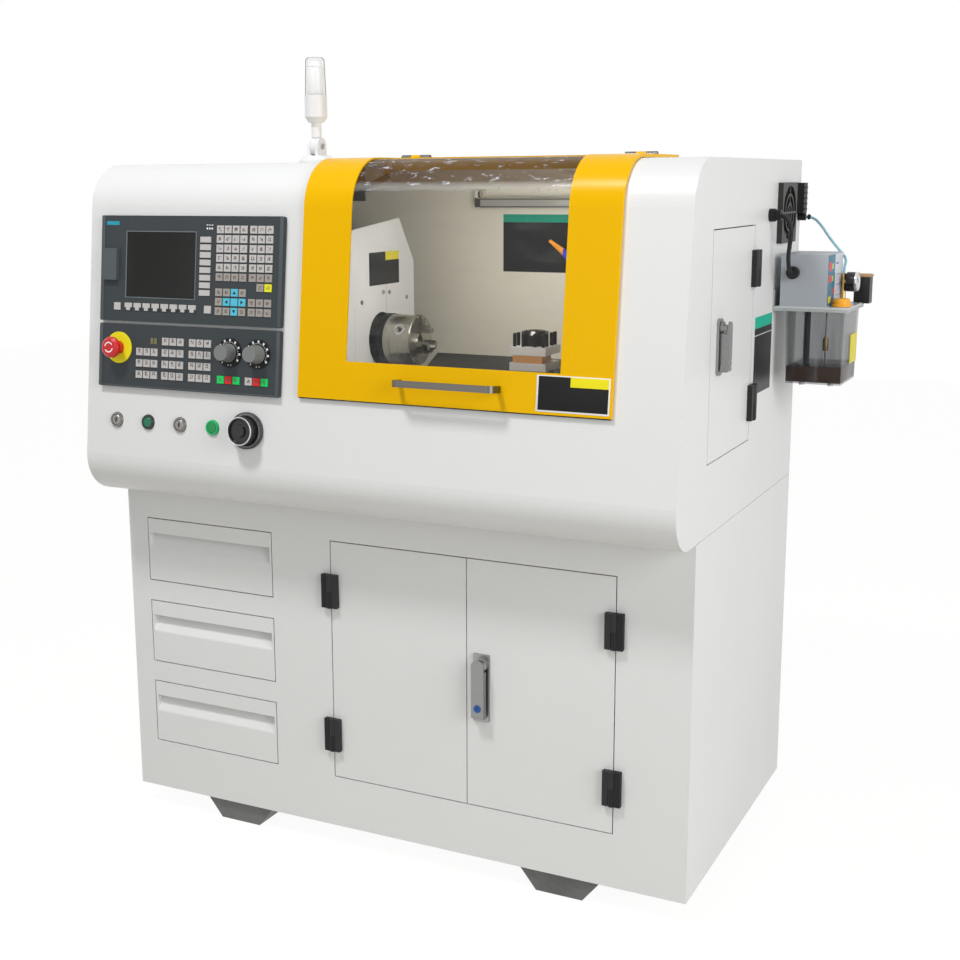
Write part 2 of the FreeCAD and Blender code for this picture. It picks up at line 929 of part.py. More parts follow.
class Latch:
    """The sizes in which the two swing handles differ."""

    def __init__(self, width, height, drop, corner, boss_radius, lever_length):
        self.width = width
        self.height = height
        self.drop = drop
        self.corner = corner
        self.boss_radius = boss_radius
        self.lever_length = lever_length


FRONT_LATCH = Latch(s.latch_width, s.latch_height, s.latch_spindle_drop, s.latch_corner,
                    s.latch_boss_radius, s.latch_lever_length)
SIDE_LATCH = Latch(s.side_latch_width, s.side_latch_height, s.side_latch_drop,
                   s.side_latch_corner, s.side_latch_boss_radius, s.side_lever_length)


def latch_seat(name, latch):
    """The swing handle's plate and the bush behind it.

    In this and the next three, the local origin is the spindle's axis on the door's face,
    and -Y points outwards.
    """
    half = latch.width / 2
    low = latch.drop - latch.height
    plate = prism(name + "_seat", "XZ_Plane",
                  [(-half, low), (half, low), (half, latch.drop), (-half, latch.drop)],
                  s.latch_plate)
    round_edges(plate, latch.corner, *(
        edge_at(x=x, z=z) for x in (-half, half) for z in (low, latch.drop)
    ))
    bush = cylinder(name + "_bush", s.latch_bush_radius, s.door_fold - s.latch_cam_clearance,
                    axis="y")
    return fuse(name + "_seat_and_bush", plate, bush)


def latch_bore(name):
    """The hole for the latch spindle through plate, door and bush."""
    return cylinder(name + "_bore", s.latch_spindle_radius + s.latch_spindle_clearance,
                    3 * s.door_fold, 0, -s.door_fold, 0, "y")


lever_face = s.latch_plate + s.latch_boss_height + s.turning_clearance


def latch_spindle(name, latch):
    """The turning part of a swing handle: boss, ears, spindle and cam behind the door."""
    boss = cylinder(name + "_boss", latch.boss_radius, s.latch_boss_height,
                    0, -lever_face, 0, "y")
    cam_face = s.door_fold + s.latch_cam_clearance
    shaft = cylinder(name + "_shaft", s.latch_spindle_radius,
                     lever_face + cam_face + s.latch_cam_thickness, 0, -lever_face, 0, "y")
    cam = box(
        name + "_cam", s.latch_cam_width, s.latch_cam_thickness, s.latch_cam_length,
        -s.latch_cam_width / 2, cam_face, -s.latch_cam_length,
    )
    pieces = [boss, shaft, cam]
    pin_y = -lever_face - s.latch_lever_thickness / 2
    for side, x in (("left", -latch.boss_radius), ("right", latch.boss_radius - s.latch_ear)):
        pieces.append(cylinder(f"{name}_ear_{side}", s.latch_tongue, s.latch_ear,
                               x, pin_y, 0, "x"))
        pieces.append(box(
            f"{name}_ear_foot_{side}", s.latch_ear, s.latch_lever_thickness / 2 + s.seam,
            2 * s.latch_tongue, x, pin_y, -s.latch_tongue,
        ))
    return fuse(name, *pieces)


def latch_lever(name, latch):
    """The swing handle's lever: it covers the ears and hangs down from their cross pin."""
    thickness = s.latch_lever_thickness
    inner = latch.boss_radius - s.latch_ear - s.turning_clearance
    pin_y = -lever_face - thickness / 2
    outer = -lever_face - thickness - s.latch_cover
    neck_top = 3 * s.latch_ear + thickness
    neck = box(name + "_neck", 2 * inner, (thickness + s.latch_cover) / 2 + s.latch_tongue,
               neck_top, -inner, pin_y - (thickness + s.latch_cover) / 2, -neck_top)
    eye = cylinder(name + "_eye", s.latch_tongue, 2 * inner, -inner, pin_y, 0, "x")
    eye_web = box(name + "_eye_web", 2 * inner, (thickness + s.latch_cover) / 2,
                  s.latch_tongue, -inner, pin_y - (thickness + s.latch_cover) / 2,
                  -s.latch_tongue)
    step = -2 * s.latch_ear
    low = -latch.lever_length
    blade = prism(
        name + "_blade", "YZ_Plane",
        [(outer, latch.boss_radius), (outer, low), (-lever_face + thickness / 3, low),
         (-lever_face, low + 2 * thickness), (-lever_face, step),
         (-lever_face - thickness, step), (-lever_face - thickness, latch.boss_radius)],
        2 * latch.boss_radius,
    )
    round_edges(blade, latch.boss_radius - s.turning_clearance,
                edge_at(x=0, z=latch.boss_radius),
                edge_at(x=2 * latch.boss_radius, z=latch.boss_radius))
    round_edges(blade, thickness / 3, edge_at(y=outer, z=low))
    put(blade, x=-latch.boss_radius)
    return fuse(name, neck, eye, eye_web, blade)


def side_face(item, y, z):
    """Turn a piece made for the front so that it lies on the right side of the hood."""
    return put(item, half_width, y, z, QUARTER)


def hinge_heights(low, high):
    return (("low", low - s.hinge_height / 2), ("high", high - s.hinge_height / 2))


def cabinet_doors(fixed):
    """The cupboard's two leaves; the right one carries the swing handle."""
    leaf_width = (s.cupboard_width - s.door_gap) / 2
    axis_y = -half_depth - s.hinge_axis_offset
    latch_z = s.latch_bottom + s.latch_height - s.latch_spindle_drop
    right_edge = s.cupboard_left + s.cupboard_width
    for side, direction, hinge_x, door_x in (
        ("left", 1, s.cupboard_left, s.cupboard_left),
        ("right", -1, right_edge, right_edge - leaf_width),
    ):
        node = f"cabinet_door_{side}"
        pan = pan_door(node, leaf_width, s.cupboard_height)
        pieces = [put(pan, door_x, -half_depth, s.cupboard_bottom)]
        for place, z in hinge_heights(s.hinge_low, s.hinge_high):
            name = f"hinge_{side}_{place}"
            pieces.append(put(moving_leaf(name + "_moving", direction), hinge_x, axis_y, z))
            fixed.append(put(fixed_leaf(name + "_fixed", -direction), hinge_x, axis_y, z))
        if side == "right":
            pieces.append(put(latch_seat(node, FRONT_LATCH), s.latch_x, -half_depth, latch_z))
        built = fuse(node + "_built", *pieces)
        if side == "right":
            bore = put(latch_bore(node), s.latch_x, -half_depth - s.door_fold, latch_z,
                       ALONG["y"])
            built = cut(node + "_drilled", built, bore)
        part(node, built)
    part("cabinet_latch", put(latch_spindle("cabinet_swivel", FRONT_LATCH),
                              s.latch_x, -half_depth, latch_z))
    part("cabinet_lever", put(latch_lever("cabinet_grip", FRONT_LATCH),
                              s.latch_x, -half_depth, latch_z))


def side_door(fixed):
    """The access door on the right side; its hinges are at its rear edge."""
    pan = side_face(pan_door("side_door", s.side_door_width, s.side_door_height),
                    s.side_door_front, side_door_bottom)
    pieces = [pan]
    rear = s.side_door_front + s.side_door_width
    axis_x = half_width + s.hinge_axis_offset
    for place, z in hinge_heights(side_hinge_low, side_hinge_high):
        name = f"hinge_side_{place}"
        pieces.append(put(moving_leaf(name + "_moving", -1), axis_x, rear, z, QUARTER))
        fixed.append(put(fixed_leaf(name + "_fixed", 1), axis_x, rear, z, QUARTER))
    pieces.append(side_face(latch_seat("side_door", SIDE_LATCH), s.side_latch_y, side_latch_z))
    bore = put(latch_bore("side_door"), half_width - 2 * s.door_fold, s.side_latch_y,
               side_latch_z, ALONG["x"])
    part("side_door", cut("side_door_drilled", fuse("side_door_built", *pieces), bore))
    part("side_latch", side_face(latch_spindle("side_swivel", SIDE_LATCH),
                                 s.side_latch_y, side_latch_z))
    part("side_lever", side_face(latch_lever("side_grip", SIDE_LATCH),
                                 s.side_latch_y, side_latch_z))


# ---------------------------------------------------------------- hood and guard


def guard_opening():
    low = guard_bottom + s.guard_overlap
    rear = s.guard_hinge_y - s.guard_overlap
    return box(
        "guard_opening", s.guard_width - 2 * s.guard_overlap,
        rear - front_y + s.hood_overhang, hood_top - low + s.hood_overhang,
        s.guard_left + s.guard_overlap, front_y - s.hood_overhang, low,
    )


def hood_shell():
    """The bent hood with its openings for guard, side door, panels, fan and switches."""
    outer = hood_solid("hood_outer", 0 * s.sheet, -half_width, s.machine_width)
    inner = hood_solid("hood_inner", -s.sheet, s.sheet - half_width,
                       s.machine_width - 2 * s.sheet)
    floor = box(
        "hood_floor_opening", s.machine_width - 2 * s.panel_lip,
        s.cabinet_depth - 2 * s.panel_lip, 3 * s.sheet,
        s.panel_lip - half_width, s.panel_lip - half_depth, hood_bottom - s.sheet,
    )
    inside_x = half_width - 2 * s.sheet
    side = box(
        "hood_side_opening", 4 * s.sheet, s.side_door_width + 2 * s.door_gap,
        s.side_door_height + 2 * s.door_gap,
        inside_x, s.side_door_front - s.door_gap, side_door_bottom - s.door_gap,
    )
    fan = cylinder("hood_fan_hole", s.fan_hole_radius, 4 * s.sheet,
                   inside_x, s.fan_y, fan_z, "x")
    gland = cylinder("hood_gland_hole", s.gland_radius + s.hinge_pin_clearance, 4 * s.sheet,
                     inside_x, s.gland_y, gland_z, "x")
    holes = [floor, guard_opening(), side, fan, gland]
    for name, rise, height in (("control", s.panel_bottom, s.control_panel_height),
                               ("display", display_rise, s.display_panel_height)):
        hole = box(f"hood_{name}_opening", s.panel_width - 2 * s.panel_lip,
                   height - 2 * s.panel_lip, 4 * s.sheet)
        holes.append(on_front(hole, s.panel_left + s.panel_lip, rise + s.panel_lip,
                              -2 * s.sheet))
    for index in range(4):
        hole = cylinder(f"hood_switch_hole_{index + 1}",
                        s.switch_body_radius + s.switch_clearance, 4 * s.sheet)
        holes.append(on_front(hole, switch_x(index), s.switch_row, -2 * s.sheet))
    shaft = cylinder("hood_handwheel_hole", s.handwheel_shaft_radius + s.turning_clearance,
                     4 * s.sheet)
    holes.append(on_front(shaft, s.handwheel_x, s.switch_row, -2 * s.sheet))
    part("hood_shell", cut("hood_folded", cut("hood_hollow", outer, inner), *holes))


def guard_hinge_centres():
    left = s.guard_left + s.guard_hinge_inset
    right = s.guard_left + s.guard_width - s.guard_hinge_inset
    return (left, right)


def strut_places():
    """X of each strut and the side, in X, on which its plates stand."""
    return (
        (s.guard_left + s.strut_inset, -1),
        (s.guard_left + s.guard_width - s.strut_inset, 1),
    )


guard_axis_z = hood_top + s.guard_hinge_rise
guard_underside = hood_top + s.guard_gap
strut_end_y = s.strut_foot_y + s.strut_length * cosine(s.strut_angle)
strut_end_z = strut_foot_z + s.strut_length * sine(s.strut_angle)


def guard_fittings(rear):
    """What is welded under and behind the guard's skin, and the bores for its hinge pins."""
    pieces = [box(
        "guard_rear_flange", s.window_width, s.sheet, s.window_flange_depth + s.sheet,
        s.window_left, s.window_rear_y, guard_underside - s.window_flange_depth,
    )]
    bores = []
    length = s.guard_knuckle_length - 2 * s.turning_clearance
    for side, centre in enumerate(guard_hinge_centres(), start=1):
        left = centre - length / 2
        pieces.append(box(f"guard_tab_{side}", length, s.guard_rear_gap + s.sheet, s.sheet,
                          left, rear - s.sheet, guard_underside))
        pieces.append(cylinder(f"guard_knuckle_{side}", s.guard_knuckle_radius, length,
                               left, s.guard_hinge_y, guard_axis_z, "x"))
        bores.append(cylinder(
            f"guard_bore_{side}", s.guard_pin_radius + s.hinge_pin_clearance,
            2 * s.guard_knuckle_length, centre - s.guard_knuckle_length,
            s.guard_hinge_y, guard_axis_z, "x",
        ))
    eye = s.strut_eye_radius
    for side, (strut_x, direction) in enumerate(strut_places(), start=1):
        face = strut_x + direction * (s.strut_eye_width / 2 + s.turning_clearance + eye)
        plate_x = face if direction > 0 else face - s.strut_plate
        stud_x = face - eye if direction > 0 else face
        pieces.append(box(
            f"guard_strut_plate_{side}", s.strut_plate, 4 * eye,
            guard_underside - strut_end_z + eye,
            plate_x, strut_end_y - 2 * eye, strut_end_z - eye,
        ))
        pieces.append(cylinder(f"guard_strut_stud_{side}", s.strut_pin_radius, eye,
                               stud_x, strut_end_y, strut_end_z, "x"))
    return pieces, bores


def guard_door():
    """The flip-up guard: a bent frame over front and roof, folded in at its edges."""
    skin = s.guard_gap + s.sheet
    outer = hood_solid("guard_outer", skin, s.guard_left, s.guard_width)
    inner = hood_solid("guard_inner", s.guard_gap, s.guard_left + s.sheet,
                       s.guard_width - 2 * s.sheet)
    clear = hood_solid("guard_clear", s.guard_edge_clearance, s.guard_left - s.sheet,
                       s.guard_width + 2 * s.sheet)
    rear = s.guard_hinge_y - s.guard_rear_gap
    span = box(
        "guard_span", s.guard_width, rear - front_y + s.hood_overhang,
        hood_top - guard_bottom + s.hood_overhang,
        s.guard_left, front_y - s.hood_overhang, guard_bottom,
    )
    window = box(
        "guard_window_opening", s.window_width,
        s.window_rear_y - front_y + s.hood_overhang,
        hood_top - window_bottom + s.hood_overhang,
        s.window_left, front_y - s.hood_overhang, window_bottom,
    )
    frame = keep_inside("guard_bent", cut("guard_skin", outer, inner, clear, window), span)
    fittings, bores = guard_fittings(rear)
    part("guard_door", cut("guard_built", fuse("guard_solid", frame, *fittings), *bores))


def guard_window():
    """The curved pane, which laps the guard's frame from inside on three sides."""
    lap = s.window_lap
    outer = hood_solid("pane_outer", s.guard_gap, s.window_left - lap, s.window_width + 2 * lap)
    inner = hood_solid("pane_inner", s.guard_edge_clearance, s.window_left - 2 * lap,
                       s.window_width + 4 * lap)
    span = box(
        "pane_span", s.window_width + 2 * lap, s.window_rear_y - front_y + s.hood_overhang,
        hood_top - window_bottom + lap + s.hood_overhang,
        s.window_left - lap, front_y - s.hood_overhang, window_bottom - lap,
    )
    part("guard_window", keep_inside("pane_bent", cut("pane_sheet", outer, inner), span))


def guard_handle():
    """A bow handle: flat bar bent back to the guard at both ends."""
    bar = s.handle_bar
    length = s.handle_length
    reach = s.handle_reach
    handle = prism(
        "handle_bow", "XZ_Plane",
        [(0, 0), (bar, 0), (bar, reach - bar), (length - bar, reach - bar),
         (length - bar, 0), (length, 0), (length, reach), (0, reach)],
        s.handle_height,
    )
    inner = reach - bar
    round_edges(handle, s.handle_bend, edge_at(x=0, z=reach), edge_at(x=length, z=reach))
    round_edges(handle, s.handle_bend - bar,
                edge_at(x=bar, z=inner), edge_at(x=length - bar, z=inner))
    on_front(handle, s.handle_centre_x - length / 2, s.handle_rise + s.handle_height,
             s.guard_gap + s.sheet)
    part("guard_handle", handle)


def guard_hinges():
    """The roof halves of the guard hinges: leaf, two outer knuckles and the pin."""
    hinges = []
    length = s.guard_knuckle_length
    radius = s.guard_knuckle_radius
    for side, centre in enumerate(guard_hinge_centres(), start=1):
        left = centre - 3 * length / 2
        name = f"guard_hinge_{side}"
        pieces = [
            box(name + "_leaf", 3 * length, s.guard_leaf_depth, s.guard_leaf_thickness,
                left, s.guard_hinge_y + radius, hood_top),
            cylinder(name + "_pin", s.guard_pin_radius, 3 * length,
                     left, s.guard_hinge_y, guard_axis_z, "x"),
        ]
        for end, x in (("left", left), ("right", left + 2 * length)):
            pieces.append(cylinder(f"{name}_knuckle_{end}", radius, length,
                                   x, s.guard_hinge_y, guard_axis_z, "x"))
            pieces.append(box(f"{name}_cheek_{end}", length, 2 * radius, s.guard_hinge_rise,
                              x, s.guard_hinge_y, hood_top))
        hinges.append(fuse(name, *pieces))
    part("guard_hinges", group("guard_hinge_pair", *hinges))


def along_strut(item, x, distance):
    """Point an object's Z axis along the strut, from its foot towards the guard."""
    angle = s.strut_angle
    item.Placement = Placement(Vector(), Rotation(Vector(-1, 0, 0), 90 - number(angle)))
    return bind(
        item,
        Placement__Base__x=x,
        Placement__Base__y=s.strut_foot_y + distance * cosine(angle),
        Placement__Base__z=strut_foot_z + distance * sine(angle),
        Placement__Rotation__Angle=90 - angle,
    )


def strut_bracket(name, x, direction):
    """A hanging plate under the roof with the ball stud that the strut's foot turns on."""
    face = x + direction * (s.strut_eye_width / 2 + s.turning_clearance)
    width = s.strut_plate_width
    roof = hood_top - s.sheet
    plate_x = face if direction > 0 else face - width
    shelf_x = face if direction > 0 else face - 2 * width
    front = s.strut_foot_y - s.strut_plate / 2
    plate = box(name + "_plate", width, s.strut_plate, s.strut_plate_height,
                plate_x, front, roof - s.strut_plate_height)
    shelf = box(name + "_shelf", 2 * width, 6 * s.strut_plate, s.strut_plate,
                shelf_x, front, roof - s.strut_plate)
    stud_start = x - s.strut_eye_width / 2 if direction > 0 else face - s.strut_plate
    stud = cylinder(
        name + "_stud", s.strut_pin_radius,
        s.strut_eye_width + s.strut_plate + s.turning_clearance,
        stud_start, s.strut_foot_y, strut_foot_z, "x",
    )
    return fuse(name, plate, shelf, stud)


def strut_barrel(name, x):
    eye = s.strut_eye_radius
    width = s.strut_eye_width
    ring = cylinder(name + "_eye", eye, width, x - width / 2, s.strut_foot_y, strut_foot_z, "x")
    tube = along_strut(cylinder(name + "_tube", s.strut_barrel_radius, s.strut_barrel_length),
                       x, eye)
    hole = cylinder(name + "_eye_hole", s.strut_pin_radius + s.strut_pin_clearance, 3 * width,
                    x - 3 * width / 2, s.strut_foot_y, strut_foot_z, "x")
    bore = along_strut(cylinder(name + "_bore", s.strut_rod_radius + s.strut_bore_clearance,
                                s.strut_barrel_length), x, 2 * eye)
    return cut(name, fuse(name + "_solid", ring, tube), hole, bore)


def strut_rod(name, x):
    eye = s.strut_eye_radius
    width = s.strut_eye_width
    rod = along_strut(cylinder(name + "_bar", s.strut_rod_radius, s.strut_length - 3 * eye),
                      x, 3 * eye)
    cup = cylinder(name + "_cup", eye, width, x - width / 2, strut_end_y, strut_end_z, "x")
    return fuse(name, rod, cup)


def gas_struts():
    brackets, barrels, rods = [], [], []
    for side, (x, direction) in enumerate(strut_places(), start=1):
        brackets.append(strut_bracket(f"strut_bracket_{side}", x, direction))
        barrels.append(strut_barrel(f"strut_barrel_{side}", x))
        rods.append(strut_rod(f"strut_rod_{side}", x))
    part("strut_brackets", group("strut_bracket_pair", *brackets))
    part("strut_barrels", group("strut_barrel_pair", *barrels))
    part("strut_rods", group("strut_rod_pair", *rods))


# ---------------------------------------------------------------- operator panels


def panel_plate(name, height):
    """A panel with rounded corners, lying on its local XY plane."""
    plate = prism(name, "XY_Plane",
                  [(0, 0), (s.panel_width, 0), (s.panel_width, height), (0, height)],
                  s.panel_thickness)

    def upright(edge):
        rise = abs(edge.Vertexes[0].Z - edge.Vertexes[-1].Z)
        return near(rise, s.panel_thickness)

    return round_edges(plate, s.panel_corner, upright)


def display_panel():
    """The upper panel with its recessed screen and the cover of its card slot."""
    plate = panel_plate("display_plate", s.display_panel_height)
    floor = s.panel_thickness - s.screen_recess
    recess = box("screen_recess", s.screen_width, s.screen_height, s.panel_thickness,
                 s.screen_left, s.screen_bottom, floor)
    glass = box("screen_glass", s.screen_width, s.screen_height, s.screen_recess / 2,
                s.screen_left, s.screen_bottom, floor)
    card_cover = box("card_cover", s.card_cover_width, s.card_cover_height, s.card_cover_depth,
                     s.card_cover_left, s.card_cover_rise, s.panel_thickness)
    panel = fuse("display_built", cut("display_framed", plate, recess), glass, card_cover)
    part("display_panel", on_front(panel, s.panel_left, display_rise))


def control_panel():
    """The lower panel, with the sockets for the emergency stop and the override knobs."""
    plate = panel_plate("control_plate", s.control_panel_height)
    sockets = [cylinder("estop_socket", s.estop_stem_radius + s.turning_clearance,
                        3 * s.panel_thickness, s.estop_x, s.estop_rise, -s.panel_thickness)]
    for name, x in (("feed", s.override_first), ("speed", s.override_second)):
        sockets.append(cylinder(f"{name}_socket", s.handwheel_shaft_radius + s.turning_clearance,
                                3 * s.panel_thickness, x, s.override_dial_rise,
                                -s.panel_thickness))
    panel = cut("control_built", plate, *sockets)
    part("control_panel", on_front(panel, s.panel_left, s.panel_bottom))


def key(name, x, y, width=s.key_width, height=s.key_height):
    """One key, its lower left corner at x, y of the lower panel's frame."""
    return box(name, width, height, s.key_rise, x, y, s.panel_thickness)


def display_keys():
    """The keypad, cursor and soft keys of the upper panel."""
    base = s.control_panel_height + s.panel_split
    pitch = s.key_pitch
    top = base + s.keypad_top - s.key_height
    columns = [s.keypad_left + pitch * column for column in range(4)]
    columns += [s.keypad_second_left + pitch * column for column in range(3)]
    keys = [
        key(f"key_{row}_{column}", x, top - pitch * row)
        for row in range(6)
        for column, x in enumerate(columns)
    ]
    keys += [key(f"key_lone_{column}", columns[column], top - pitch * 6) for column in (5, 6)]
    cursor_rows = [top - pitch * (6.6 + step) for step in range(3)]
    for row in range(3):
        for column in range(4):
            keys.append(key(f"cursor_{row}_{column}", columns[column], cursor_rows[row]))
    for row in (1, 2):
        for column in (4, 5, 6):
            keys.append(key(f"edit_{row}_{column}", columns[column], cursor_rows[row]))
    for index in range(8):
        keys.append(key(
            f"soft_right_{index}", s.soft_key_column,
            base + s.soft_key_low + s.soft_key_pitch * index,
            s.soft_key_long, s.soft_key_short,
        ))
        keys.append(key(
            f"soft_low_{index}", s.lower_soft_key_left + s.lower_soft_key_pitch * index,
            base + s.lower_soft_key_bottom, s.lower_soft_key_width, s.key_height,
        ))
    for name, x in (("recall", s.recall_key_left), ("next", s.next_key_left)):
        keys.append(key(f"key_{name}", x, base + s.lower_soft_key_bottom))
    return keys


def control_keys():
    """The machine keys of the lower panel and the coloured keys under the dials."""
    low = s.control_key_bottom
    pitch = s.control_key_pitch
    keys = []
    for block, (left, rows) in enumerate((
        (s.control_block_first, 3), (s.control_block_second, 4), (s.control_block_third, 4),
    )):
        for row in range(rows):
            for column in range(3):
                keys.append(key(f"machine_key_{block}_{row}_{column}",
                                left + s.key_pitch * column, low + pitch * row))
    for block, left in enumerate((s.mode_key_first, s.mode_key_second)):
        for column in range(3):
            keys.append(key(f"mode_key_{block}_{column}", left + s.key_pitch * column, low))
    return keys


def panel_keys():
    keys = group("key_group", *display_keys(), *control_keys())
    part("panel_keys", on_front(keys, s.panel_left, s.panel_bottom))


def dial_plates():
    """The flat discs behind the emergency stop, the override knobs and the handwheel."""
    out = s.panel_thickness
    discs = []
    for name, radius, thickness, hole, x, rise, lift in (
        ("estop", s.estop_disc_radius, s.estop_disc_thickness, s.estop_stem_radius,
         s.panel_left + s.estop_x, s.panel_bottom + s.estop_rise, out),
        ("feed", s.override_dial_radius, s.dial_thickness, s.handwheel_shaft_radius,
         s.panel_left + s.override_first, s.panel_bottom + s.override_dial_rise, out),
        ("speed", s.override_dial_radius, s.dial_thickness, s.handwheel_shaft_radius,
         s.panel_left + s.override_second, s.panel_bottom + s.override_dial_rise, out),
        ("handwheel", s.handwheel_dial_radius, s.handwheel_dial_thickness,
         s.handwheel_shaft_radius,
         s.handwheel_x, s.switch_row, 0),
    ):
        disc = cylinder(f"{name}_disc", radius, thickness)
        bore = cylinder(f"{name}_disc_hole", hole + s.turning_clearance, 3 * thickness,
                        z=-thickness)
        discs.append(on_front(cut(f"{name}_dial", disc, bore), x, rise, lift))
    part("dial_plates", group("dial_group", *discs))


def estop_button():
    """The mushroom push button; it stands off its disc by its stroke."""
    head = s.estop_stem_height
    top = head + s.estop_head_height
    radius = s.estop_head_radius
    button = turned("estop_mushroom", [
        (0, -s.panel_thickness), (s.estop_stem_radius, -s.panel_thickness),
        (s.estop_stem_radius, head), (radius * 0.8, head),
        (radius, head + s.estop_head_height * 0.35), (radius, head + s.estop_head_height * 0.7),
        (radius * 0.75, top), (0, top),
    ])
    on_front(button, s.panel_left + s.estop_x, s.panel_bottom + s.estop_rise, s.panel_thickness)
    part("estop_button", button)


def override_knobs():
    """The two override knobs: skirt, round grip and a short shaft."""
    for node, x in (("feed_knob", s.override_first), ("speed_knob", s.override_second)):
        gap = s.dial_thickness + s.turning_clearance
        top = gap + s.override_skirt_height + s.override_knob_height
        skirt = gap + s.override_skirt_height
        knob = turned(f"{node}_body", [
            (0, -s.panel_thickness), (s.handwheel_shaft_radius, -s.panel_thickness),
            (s.handwheel_shaft_radius, gap), (s.override_skirt_radius, gap),
            (s.override_skirt_radius, skirt), (s.override_knob_radius, skirt),
            (s.override_knob_radius * 0.9, top), (0, top),
        ])
        on_front(knob, s.panel_left + x, s.panel_bottom + s.override_dial_rise, s.panel_thickness)
        part(node, knob)


def switch_x(index):
    return s.switch_first + s.switch_pitch * index


SWITCHES = ("key_switch_power", "start_button", "key_switch_mode", "reset_button")


def switches():
    """Two key switches and two lit push buttons, each in its bezel and hood hole."""
    bezels = []
    bore = s.switch_cap_radius + s.turning_clearance
    for index, node in enumerate(SWITCHES):
        ring = turned(f"{node}_ring", [
            (bore, -s.switch_body_depth), (s.switch_body_radius, -s.switch_body_depth),
            (s.switch_body_radius, 0), (s.switch_bezel_radius, 0),
            (s.switch_bezel_radius * 0.9, s.switch_bezel_height), (bore, s.switch_bezel_height),
        ])
        bezels.append(on_front(ring, switch_x(index), s.switch_row))
        cap = turned(f"{node}_cap", [
            (0, -s.switch_body_depth / 2), (s.switch_cap_radius, -s.switch_body_depth / 2),
            (s.switch_cap_radius, s.switch_cap_height * 0.8),
            (s.switch_cap_radius * 0.9, s.switch_cap_height), (0, s.switch_cap_height),
        ])
        if index % 2 == 0:
            slot = box(f"{node}_slot", s.switch_cap_radius, s.sheet / 2, s.sheet,
                       -s.switch_cap_radius / 2, -s.sheet / 4,
                       s.switch_cap_height - s.sheet / 2)
            cap = cut(f"{node}_core", cap, slot)
        part(node, on_front(cap, switch_x(index), s.switch_row))
    part("switch_bezels", group("switch_bezel_group", *bezels))


def handwheel():
    """The pulse handwheel: a shaft and a dished wheel with a hub."""
    gap = s.handwheel_dial_thickness + s.turning_clearance
    rim = gap + s.handwheel_thickness
    dish = rim - s.handwheel_dish
    wheel = turned("handwheel_body", [
        (0, -s.switch_body_depth / 2), (s.handwheel_shaft_radius, -s.switch_body_depth / 2),
        (s.handwheel_shaft_radius, gap), (s.handwheel_radius, gap),
        (s.handwheel_radius, rim), (s.handwheel_radius * 0.85, rim),
        (s.handwheel_radius * 0.8, dish), (s.handwheel_hub_radius, dish),
        (s.handwheel_hub_radius * 0.9, rim), (0, rim),
    ])
    part("handwheel", on_front(wheel, s.handwheel_x, s.switch_row))


# ---------------------------------------------------------------- spindle and chuck

chuck_face = s.spindle_flange_x + s.spindle_flange_thickness + s.chuck_length


def on_spindle(item, x, angle=0):
    """Lay an object built with Z along the spindle, turned about it by a fixed angle."""
    turn = Rotation(Vector(1, 0, 0), angle)
    return put(item, x, spindle_y, spindle_z, turn.multiply(ALONG["x"]))


def spindle():
    """Spindle nose flange, hollow shaft and the belt pulley at its rear end."""
    rear = s.pulley_x
    reach = s.spindle_flange_x - rear
    groove = s.pulley_radius
    lip = s.pulley_radius + s.belt_thickness
    built = turned("spindle_turned", [
        (s.spindle_bore, 0), (lip, 0), (lip, s.pulley_flange), (groove, s.pulley_flange),
        (groove, s.pulley_width - s.pulley_flange), (lip, s.pulley_width - s.pulley_flange),
        (lip, s.pulley_width), (s.spindle_radius, s.pulley_width), (s.spindle_radius, reach),
        (s.spindle_flange_radius, reach),
        (s.spindle_flange_radius, reach + s.spindle_flange_thickness),
        (s.spindle_bore, reach + s.spindle_flange_thickness),
    ])
    part("spindle", on_spindle(built, rear))


def headstock():
    """The headstock casting, bored for the spindle."""
    low = bed_top - s.bed_depth
    height = spindle_z - low + s.headstock_width / 2
    casting = prism(
        "headstock_block", "YZ_Plane",
        [(spindle_y - s.headstock_width / 2, low),
         (spindle_y + s.headstock_width / 2, low),
         (spindle_y + s.headstock_width / 2, low + height),
         (spindle_y - s.headstock_width / 2, low + height)],
        s.headstock_length,
    )
    top = low + height
    round_edges(casting, s.headstock_wall, edge_at(z=top))
    put(casting, x=s.headstock_left)
    foot = box("headstock_foot", s.headstock_length, s.headstock_width, low - hood_bottom,
               s.headstock_left, spindle_y - s.headstock_width / 2, hood_bottom)
    bore = cylinder("headstock_bore", s.spindle_radius + s.spindle_clearance,
                    2 * s.headstock_length, s.headstock_left - s.headstock_length / 2,
                    spindle_y, spindle_z, "x")
    part("headstock", cut("headstock_bored", fuse("headstock_cast", casting, foot), bore))


def spindle_motor():
    """The belt motor beside the headstock, on its foot, with its pulley."""
    reach = s.headstock_left - s.pulley_x - s.pulley_width
    lip = s.motor_pulley_radius + s.belt_thickness
    turning = turned("motor_turned", [
        (0, 0), (lip, 0), (lip, s.pulley_flange), (s.motor_pulley_radius, s.pulley_flange),
        (s.motor_pulley_radius, s.pulley_width - s.pulley_flange),
        (lip, s.pulley_width - s.pulley_flange), (lip, s.pulley_width),
        (s.motor_pulley_radius / 3, s.pulley_width),
        (s.motor_pulley_radius / 3, s.pulley_width + reach),
        (s.motor_radius, s.pulley_width + reach),
        (s.motor_radius, s.pulley_width + reach + s.motor_length),
        (0, s.pulley_width + reach + s.motor_length),
    ])
    put(turning, s.pulley_x, motor_y, motor_z, ALONG["x"])
    foot = box("motor_foot", s.motor_length * 0.7, s.motor_radius * 1.4,
               motor_z - hood_bottom,
               s.headstock_left + s.motor_length * 0.15, motor_y - s.motor_radius * 0.7,
               hood_bottom)
    part("spindle_motor", fuse("motor_built", turning, foot))


